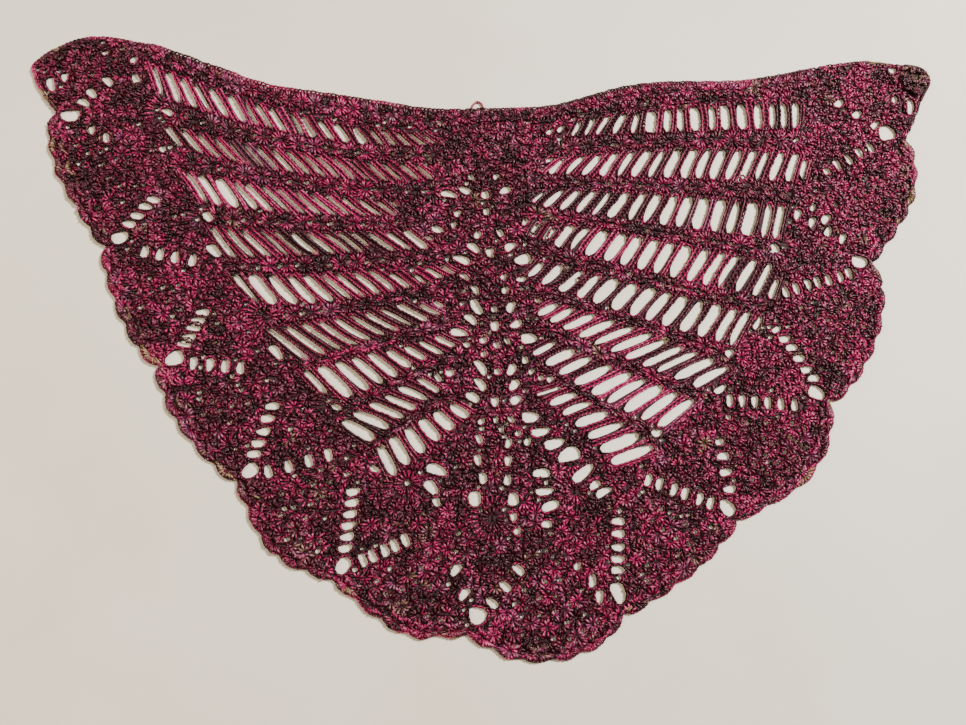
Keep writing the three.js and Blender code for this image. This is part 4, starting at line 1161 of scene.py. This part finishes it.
def make_neck():
    """A row of stars along the neck band, and a chain along its edge."""
    for side in ("left", "right"):
        name = f"neck_band_{side}"
        band, edge = neck_lines(side)
        inner = along_line(band + (edge - band) * 0.02)
        outer = along_line(band + (edge - band) * 0.93)
        row_bursts(name, outer, inner, round(line_length(edge) / NECK_PITCH))
        line = edge - (edge - band) * 0.03
        chain(pieces[name], line, width=1.5, lift=2.3, yarn=NECK_YARN, link=4.8)


def edge_curves(index):
    """The edge of a scallop and the way out of it, shell by shell."""
    scallop = SCALLOPS[index]
    steps = scallop["shells"] * 8
    ends = [NOTCHES[index]["at"], *scallop["edge"], NOTCHES[index + 1]["at"]]
    return scallop_curve(index, steps), outward(spline(ends, steps))


def make_edging():
    """The shells along each scallop: stitches that spread from a root to the edge, and a chain."""
    for index, scallop in enumerate(SCALLOPS):
        name = f"fan_{index + 1}"
        line, out = edge_curves(index)
        for shell in range(scallop["shells"]):
            part = slice(shell * 8, shell * 8 + 9)
            curve, away = line[part], out[part]
            root = curve[4] - away[4] * SHELL_ROOT
            back = (curve - away * EDGE_DEPTH)[::-1]
            for tips in (curve - away * 1.4, back[1:-1]):
                bursts(name, root[None], tips[None], DYE_EDGE, inside_only=False)
        chain(pieces[name], line - out * 1.2, width=1.2, lift=2.2, link=4.4, weights=DYE_EDGE)


def make_tips():
    """The chain round each tip, and rings of stars inside it."""
    for name, edge in (("tip_left", spline((NOTCHES[0]["at"], *LEFT_TIP, *NECK_LEFT[1:3]), 66)),
                       ("tip_right", spline(((400, 345), *RIGHT_TIP, NOTCHES[-1]["at"]), 60))):
        chain(pieces[name], edge - outward(edge) * 1.2, width=1.3, lift=2.2, link=4.6, weights=DYE_EDGE)
        ring_bursts(name, TIP_ROOTS[name], NET_FIRST, NET_RISE, NET_PITCH, 11, 10, NET_REACH)


def make_border():
    """Rings of stars in the fans and the wedges, and two rings of long stitches at each root."""
    for index, scallop in enumerate(SCALLOPS):
        name = f"fan_{index + 1}"
        ring_bursts(name, scallop["root"], NET_FIRST, NET_RISE, NET_PITCH, 11, 9, NET_REACH)
    for index, notch in enumerate(NOTCHES):
        name = f"wedge_{index + 1}"
        root = np.array(notch["root"], float)
        for near, far, count in ((2.5, 13, 15), (13, 24, 26)):
            way = ring_of(count, 0.5)
            start, end = root + way * near, root + way * far
            clear = free.at(end) & free.at(start)
            dye = dye_along(start[clear])
            rays(pieces[name], start[clear], end[clear], dye, yarn=YARN)
            tip_loops(pieces[name], start[clear], end[clear], dye)
        ring_bursts(name, root, WEDGE_FIRST, WEDGE_RISE, WEDGE_PITCH, 10, 10, WEDGE_REACH)


def make_spine():
    """The stars of the spine. Each keeps to the cells that lie nearest to it."""
    stars = np.array([star[:2] for star in STARS], float)
    rows, columns = np.indices(sections.cells.shape)
    spots = np.stack([columns + free.left + 0.5, rows + free.low + 0.5], -1)
    inside = sections.cells == number_of("spine")
    owner = np.full(sections.cells.shape, -1)
    owner[inside] = np.argmin(((spots[inside][:, None] - stars) ** 2).sum(2), 1)
    keep = free.cells.copy()
    for star_number, star in enumerate(stars):
        free.cells[:] = keep & (owner == star_number)
        starts, ends = star + ring_of(14) * 5.0, star + ring_of(14) * 16.5
        clear = free.at(ends)
        dye = dye_along(starts[clear])
        rays(pieces["spine"], starts[clear], ends[clear], dye, yarn=STAR_YARN)
        tip_loops(pieces["spine"], starts[clear], ends[clear], dye)
    free.cells[:] = keep


def tip_edge(corner):
    """The edge of the right tip, as far as it lies right of and above a corner."""
    tip = spline((*RIGHT_TIP, NOTCHES[-1]["at"]), 60)
    return tip[(tip[:, 0] > corner[0]) & (tip[:, 1] > corner[1])]


def fold_outline():
    """The edge of the turned-over corner."""
    outer = tip_edge(FOLD_CORNER)
    return np.vstack([spline(FOLD_INNER, 12), outer - outward(outer) * WEB_INSET])


def make_fold():
    """The turned-over corner: a second layer on the tip, and the strands that wind round its edge."""
    keep = free.cells.copy()
    known = covered.cells.copy()
    free.cells[:] = False
    free.fill(fold_outline(), True)
    for hole in FOLD_HOLES:
        block(hole_loop(*widened(hole, FOLD_ROOM), 8))
    grid = np.stack(np.meshgrid(np.arange(506, 548, 7), np.arange(308, 354, 7)), -1).reshape(-1, 2)
    nodes = grid[free.at(grid)] + chance.normal(0, 0.8, (int(free.at(grid).sum()), 2))
    all_round("tip_right", nodes, 6.5, 10, DYE_FOLD, FOLD_LIFT, False)
    free.cells[:], covered.cells[:] = keep, known
    edge = even_points(tip_edge(FOLD_EDGE_CORNER), 36)
    out = outward(edge)
    points = np.stack([edge - out * 2.5, edge + out * 0.2, edge + out * 0.2, edge - out * 2.5], 1)
    points[:, 2:] += np.gradient(edge, axis=0)[:, None] * 0.8
    strands = with_height(points, FOLD_HEIGHTS)
    pieces["tip_right"].add(strands, YARN, 4, dye_along(edge, DYE_FOLD))


# The cells of the edging, where no gap is placed.
edge_zone = Floorplan(bool, False)
for index in range(len(SCALLOPS)):
    line, out = edge_curves(index)
    edge_zone.fill(np.vstack([line + out * 3, (line - out * (EDGE_DEPTH + 1))[::-1]]), True)

# All the stitches. What is worked later keeps clear of the holes and fills what is still bare.
pieces["wing_left_bars"] = Stitches()
pieces["wing_right_bars"] = Stitches()
holes = make_holes()
make_wings()
make_neck()
make_edging()
make_tips()
make_border()
make_spine()
for name in SECTION_NAMES:
    scattered_bursts(name)
    holes += small_gaps(name)
    fill_gaps(name)
make_fold()


def web_loops():
    """The edges of the cloth behind the stitches: its outline, drawn in, and every hole."""
    loops = [outline - outward(outline) * WEB_INSET]
    for row in ROWS:
        loops += row.slit_loops(0.4, 0.4)
    return loops + [hole_loop(*hole, 9) for hole in holes]


def crossings(points, loops):
    """How many of the loops hold each point."""
    inside = np.zeros(len(points), int)
    for loop in loops:
        after = np.roll(loop, -1, 0)
        low, high = loop.min(0), loop.max(0)
        near = np.all((points > low) & (points < high), 1)
        if not near.any():
            continue
        p = points[near]
        hits = np.zeros(len(p), int)
        for a, b in zip(loop, after):
            if a[1] == b[1]:
                continue
            cross = (a[1] <= p[:, 1]) != (b[1] <= p[:, 1])
            at = a[0] + (p[:, 1] - a[1]) * (b[0] - a[0]) / (b[1] - a[1])
            hits += cross & (p[:, 0] < at)
        inside[near] += hits % 2
    return inside


def make_web(name, loops, low, high):
    """A thin wall of the lace behind the stitches, with both faces and every cut edge. Its area too."""
    points, edges = [], []
    for loop in loops:
        start = len(points)
        points += [Vector(point) for point in loop]
        edges += [(start + i, start + (i + 1) % len(loop)) for i in range(len(loop))]
    grid = np.stack(np.meshgrid(WEB_COLUMNS, WEB_ROWS), -1).reshape(-1, 2).astype(float)
    inside = (crossings(grid, loops[:1]) == 1) & (crossings(grid, loops[1:]) == 0)
    points += [Vector(point) for point in grid[inside]]
    flat, _, faces, *_ = delaunay_2d_cdt(points, edges, [], 0, 1e-4)
    flat = np.array([tuple(point) for point in flat])
    faces = np.array([tuple(face) for face in faces])
    middle = flat[faces].mean(1)
    inside = (crossings(middle, loops[:1]) == 1) & (crossings(middle, loops[1:]) == 0)
    used, faces = np.unique(faces[inside], return_inverse=True)
    flat, faces = flat[used], faces.reshape(-1, 3)
    a, b, c = (flat[faces[:, i]] for i in range(3))
    turn = (b[:, 0] - a[:, 0]) * (c[:, 1] - a[:, 1]) - (b[:, 1] - a[:, 1]) * (c[:, 0] - a[:, 0])
    faces[turn < 0] = faces[turn < 0][:, ::-1]
    count = len(flat)
    sides = {(face[i], face[(i + 1) % 3]) for face in faces.tolist() for i in range(3)}
    walls = [(j, i, i + count, j + count) for i, j in sides if (j, i) not in sides]
    lift = wave(flat)
    below = np.column_stack([flat - CHART_MIDDLE, low + lift])
    above = np.column_stack([flat - CHART_MIDDLE, high + lift])
    polygons = ([tuple(face[::-1]) for face in faces.tolist()]
                + [tuple(i + count for i in face) for face in faces.tolist()] + walls)
    mesh = bpy.data.meshes.new(name)
    mesh.from_pydata((np.vstack([below, above]) * MM).tolist(), [], polygons)
    mesh.update()
    web = bpy.data.objects.new(name, mesh)
    bpy.context.scene.collection.objects.link(web)
    return web, np.abs(turn).sum() / 2 * MM * MM


class Socket:
    """A shader value that can be added, taken away and multiplied as a number."""

    def __init__(self, graph, output):
        self.graph, self.output = graph, output

    def joined(self, operation, first, second):
        return self.graph.node("ShaderNodeMath", {"operation": operation}, {0: first, 1: second})

    def __add__(self, other):
        return self.joined("ADD", self, other)

    def __radd__(self, other):
        return self.joined("ADD", other, self)

    def __sub__(self, other):
        return self.joined("SUBTRACT", self, other)

    def __rsub__(self, other):
        return self.joined("SUBTRACT", other, self)

    def __mul__(self, other):
        return self.joined("MULTIPLY", self, other)

    def __rmul__(self, other):
        return self.joined("MULTIPLY", other, self)


class Graph:
    """The nodes of one material."""

    def __init__(self, name):
        self.material = bpy.data.materials.new(name)
        self.material.use_nodes = True
        self.nodes = self.material.node_tree.nodes
        self.links = self.material.node_tree.links
        self.shader = self.nodes["Principled BSDF"]

    def node(self, kind, settings=None, sockets=None, output=0):
        """A node of any type, with its settings and the values or links of its sockets."""
        node = self.nodes.new(kind)
        for key, value in (settings or {}).items():
            if key == "stops":
                self.set_stops(node.color_ramp, value)
            else:
                setattr(node, key, value)
        for key, value in (sockets or {}).items():
            self.feed(node.inputs[key], value)
        return Socket(self, node.outputs[output])

    @staticmethod
    def set_stops(ramp, stops):
        for place, _ in stops[2:]:
            ramp.elements.new(place)
        for element, (place, tint) in zip(ramp.elements, sorted(stops)):
            element.position = place
            element.color = tint

    def feed(self, socket, value):
        if isinstance(value, Socket):
            self.links.new(value.output, socket)
        else:
            socket.default_value = value

    def shade(self, **inputs):
        for key, value in inputs.items():
            self.feed(self.shader.inputs[key.replace("_", " ")], value)


def colour(code):
    """A colour written as red, green and blue in hexadecimal, as light values."""
    parts = [int(code[i:i + 2], 16) / 255 for i in (0, 2, 4)]
    return (*[p / 12.92 if p <= 0.04045 else ((p + 0.055) / 1.055) ** 2.4 for p in parts], 1.0)


DYE_COLOURS = [(DARK, "2c020e"), (MAROON, "48051f"), (WINE, "66082f"), (CRIMSON, "880b42"),
               (PINK, "a8165a"), (MAUVE, "722a50"), (TAUPE, "5a3836"), (TAN, "8a6f4c")]
# A pale pink painted highlight for the highest parts of the strands, and the painted light at which it
# starts.
PAINTED_HIGHLIGHT = "c48696"
HIGHLIGHT_FROM = 0.95
TWISTS = 330.0
# Painted shade: the near-black colours of the wall deep between the stitches.
WEB_SHADE_COLOURS = ("180208", "300613")
FLOOR_COLOURS = ("dcd2c0", "e6dfd1")


def yarn_material():
    """Space-dyed yarn: its dye from the strands, painted shade and a painted highlight from the painted
    light of each point, and its plies from the layout round them, with painted shade along their twist.
    """
    graph = Graph("space_dyed_yarn")
    dye = graph.node("ShaderNodeAttribute", {"attribute_name": "dye"}, output="Fac")
    tone = graph.node("ShaderNodeAttribute", {"attribute_name": "tone"}, output="Fac")
    place = graph.node("ShaderNodeTexCoord", output="Object")
    mottle = graph.node("ShaderNodeTexNoise", {}, {"Vector": place, "Scale": 420.0, "Detail": 2.0})
    base = graph.node("ShaderNodeValToRGB", {"stops": [(p, colour(c)) for p, c in DYE_COLOURS]},
                      {"Fac": dye + (mottle - 0.5) * 0.16})
    layout = graph.node("ShaderNodeUVMap", {"uv_map": "yarn"})
    length = graph.node("ShaderNodeSeparateXYZ", {}, {0: layout})
    turn = Socket(graph, length.output.node.outputs[1])
    twist = (length * TWISTS + turn * 2.0) * math.tau
    ply = graph.node("ShaderNodeMath", {"operation": "SINE"}, {0: twist})
    # Painted shade and highlight: the value follows the painted light of each point, and is a little
    # darker in stripes along the ply twist.
    shade = tone * 0.9 + ply * 0.1
    lit = graph.node("ShaderNodeHueSaturation", {}, {"Color": base, "Value": shade})
    # Painted highlight: where the painted light is highest the colour is mixed towards pale pink, less on
    # dark dyes; the same share sets the coat.
    painted_highlight_share = graph.node("ShaderNodeMath", {"operation": "MULTIPLY", "use_clamp": True},
                       {0: tone - HIGHLIGHT_FROM, 1: dye * 0.9 + 0.25})
    lit = graph.node("ShaderNodeMix", {"data_type": "RGBA"}, {0: painted_highlight_share, 6: lit, 7: colour(PAINTED_HIGHLIGHT)}, 2)
    bump = graph.node("ShaderNodeBump", {}, {"Height": ply, "Strength": 0.5, "Distance": 0.0003})
    graph.shade(Base_Color=lit, Roughness=0.34 + mottle * 0.12, Normal=bump, Coat_Weight=painted_highlight_share)
    graph.shade(Specular_IOR_Level=0.28, Coat_Roughness=0.3)
    return graph.material


def web_shade_material():
    """Painted shade: the near-black colour of the wall deep between the stitches, where the yarn lies in
    shade.
    """
    graph = Graph("shaded_yarn")
    place = graph.node("ShaderNodeTexCoord", output="Object")
    mottle = graph.node("ShaderNodeTexNoise", {}, {"Vector": place, "Scale": 160.0, "Detail": 3.0})
    stops = list(zip((0.3, 0.7), map(colour, WEB_SHADE_COLOURS)))
    base = graph.node("ShaderNodeValToRGB", {"stops": stops}, {"Fac": mottle})
    bump = graph.node("ShaderNodeBump", {}, {"Height": mottle, "Strength": 0.6, "Distance": 0.0006})
    graph.shade(Base_Color=base, Roughness=0.85, Normal=bump)
    return graph.material


def floor_material():
    graph = Graph("pale_floor")
    place = graph.node("ShaderNodeTexCoord", output="Object")
    mottle = graph.node("ShaderNodeTexNoise", {}, {"Vector": place, "Scale": 3.0, "Detail": 4.0})
    stops = list(zip((0.3, 0.7), map(colour, FLOOR_COLOURS)))
    base = graph.node("ShaderNodeValToRGB", {"stops": stops}, {"Fac": mottle})
    graph.shade(Base_Color=base, Roughness=0.6)
    return graph.material


def make_floor():
    bpy.ops.object.select_all(action="DESELECT")
    bpy.ops.mesh.primitive_plane_add(size=FLOOR_SIZE)
    floor = bpy.context.object
    floor.name = "floor"
    floor.data.materials.append(floor_material())


# The camera and its aim in metres, its roll in degrees, and its focal length and width in mm.
CAMERA_PLACE = (-0.10773, -0.16818, 0.807)
CAMERA_AIM = (-0.03419, -0.03215, 0.0)
CAMERA_ROLL = -1.21
FOCAL_LENGTH = 27.06
SENSOR = 36.0

# Soft light from a window on the right, and a weak warm one from the left.
WINDOW = dict(place=(2.8, 1.6, 3.1), size=1.0, power=500, tint=(1.0, 0.98, 0.95))
FILL = dict(place=(-1.8, 0.1, 2.0), size=2.0, power=58, tint=(1.0, 0.82, 0.58))
ROOM_TINT = (1.0, 0.98, 0.95, 1.0)
ROOM_LIGHT = 0.14
FLOOR_SIZE = 12


def make_camera():
    data = bpy.data.cameras.new("camera")
    data.lens, data.sensor_width, data.sensor_fit = FOCAL_LENGTH, SENSOR, "HORIZONTAL"
    data.clip_start = 0.01
    camera = bpy.data.objects.new("camera", data)
    bpy.context.scene.collection.objects.link(camera)
    camera.location = CAMERA_PLACE
    forward = (Vector(CAMERA_AIM) - Vector(CAMERA_PLACE)).normalized()
    right = forward.cross(Vector((0, 1, 0))).normalized()
    turn = Matrix((right, right.cross(forward), -forward)).transposed().to_quaternion()
    camera.rotation_mode = "QUATERNION"
    camera.rotation_quaternion = turn @ Quaternion((0, 0, 1), math.radians(CAMERA_ROLL))
    bpy.context.scene.camera = camera


def make_light(name, place, size, power, tint):
    data = bpy.data.lights.new(name, "AREA")
    data.size, data.energy, data.color = size, power, tint
    light = bpy.data.objects.new(name, data)
    bpy.context.scene.collection.objects.link(light)
    light.location = place
    light.rotation_mode = "QUATERNION"
    light.rotation_quaternion = (-Vector(place)).to_track_quat("-Z", "Y")


make_camera()
make_floor()
make_light("window", **WINDOW)
make_light("fill", **FILL)
world = bpy.data.worlds.new("room")
world.use_nodes = True
world.node_tree.nodes["Background"].inputs["Color"].default_value = ROOM_TINT
world.node_tree.nodes["Background"].inputs["Strength"].default_value = ROOM_LIGHT
bpy.context.scene.world = world

SLOTS = {entry["node"]: entry["material_slot"] for entry in frame["record"]["subparts"]}
yarn = yarn_material()
for name, stitches in pieces.items():
    node = name.removesuffix("_bars")
    piece = stitches.build(f"{name}_stitches")
    piece.data.materials.append(yarn)
    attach(piece, "root")
    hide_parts(*[other for other in SLOTS if other in (node, f"{node}_end")])

loose = Stitches()
path = spline(YARN_END, 16)
loose.add(with_height(path[None], END_HEIGHT), END_YARN, 6, np.array([CRIMSON]))
end = loose.build("yarn_end_loop")
end.data.materials.append(yarn)
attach(end, "root")
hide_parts("yarn_end")

# The walls behind the stitches are coloured near black, as painted shade deep between the stitches.
shade_backing = web_shade_material()
flap_loops = [fold_outline()] + [hole_loop(*hole, 9) for hole in FOLD_HOLES]
flap, _ = make_web("fold_web", flap_loops, WEB_LOW + FOLD_LIFT, WEB_HIGH + FOLD_LIFT)
web, lace_area = make_web("lace_web", web_loops(), WEB_LOW, WEB_HIGH)
for sheet in (flap, web):
    sheet.data.materials.append(shade_backing)
    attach(sheet, "root")
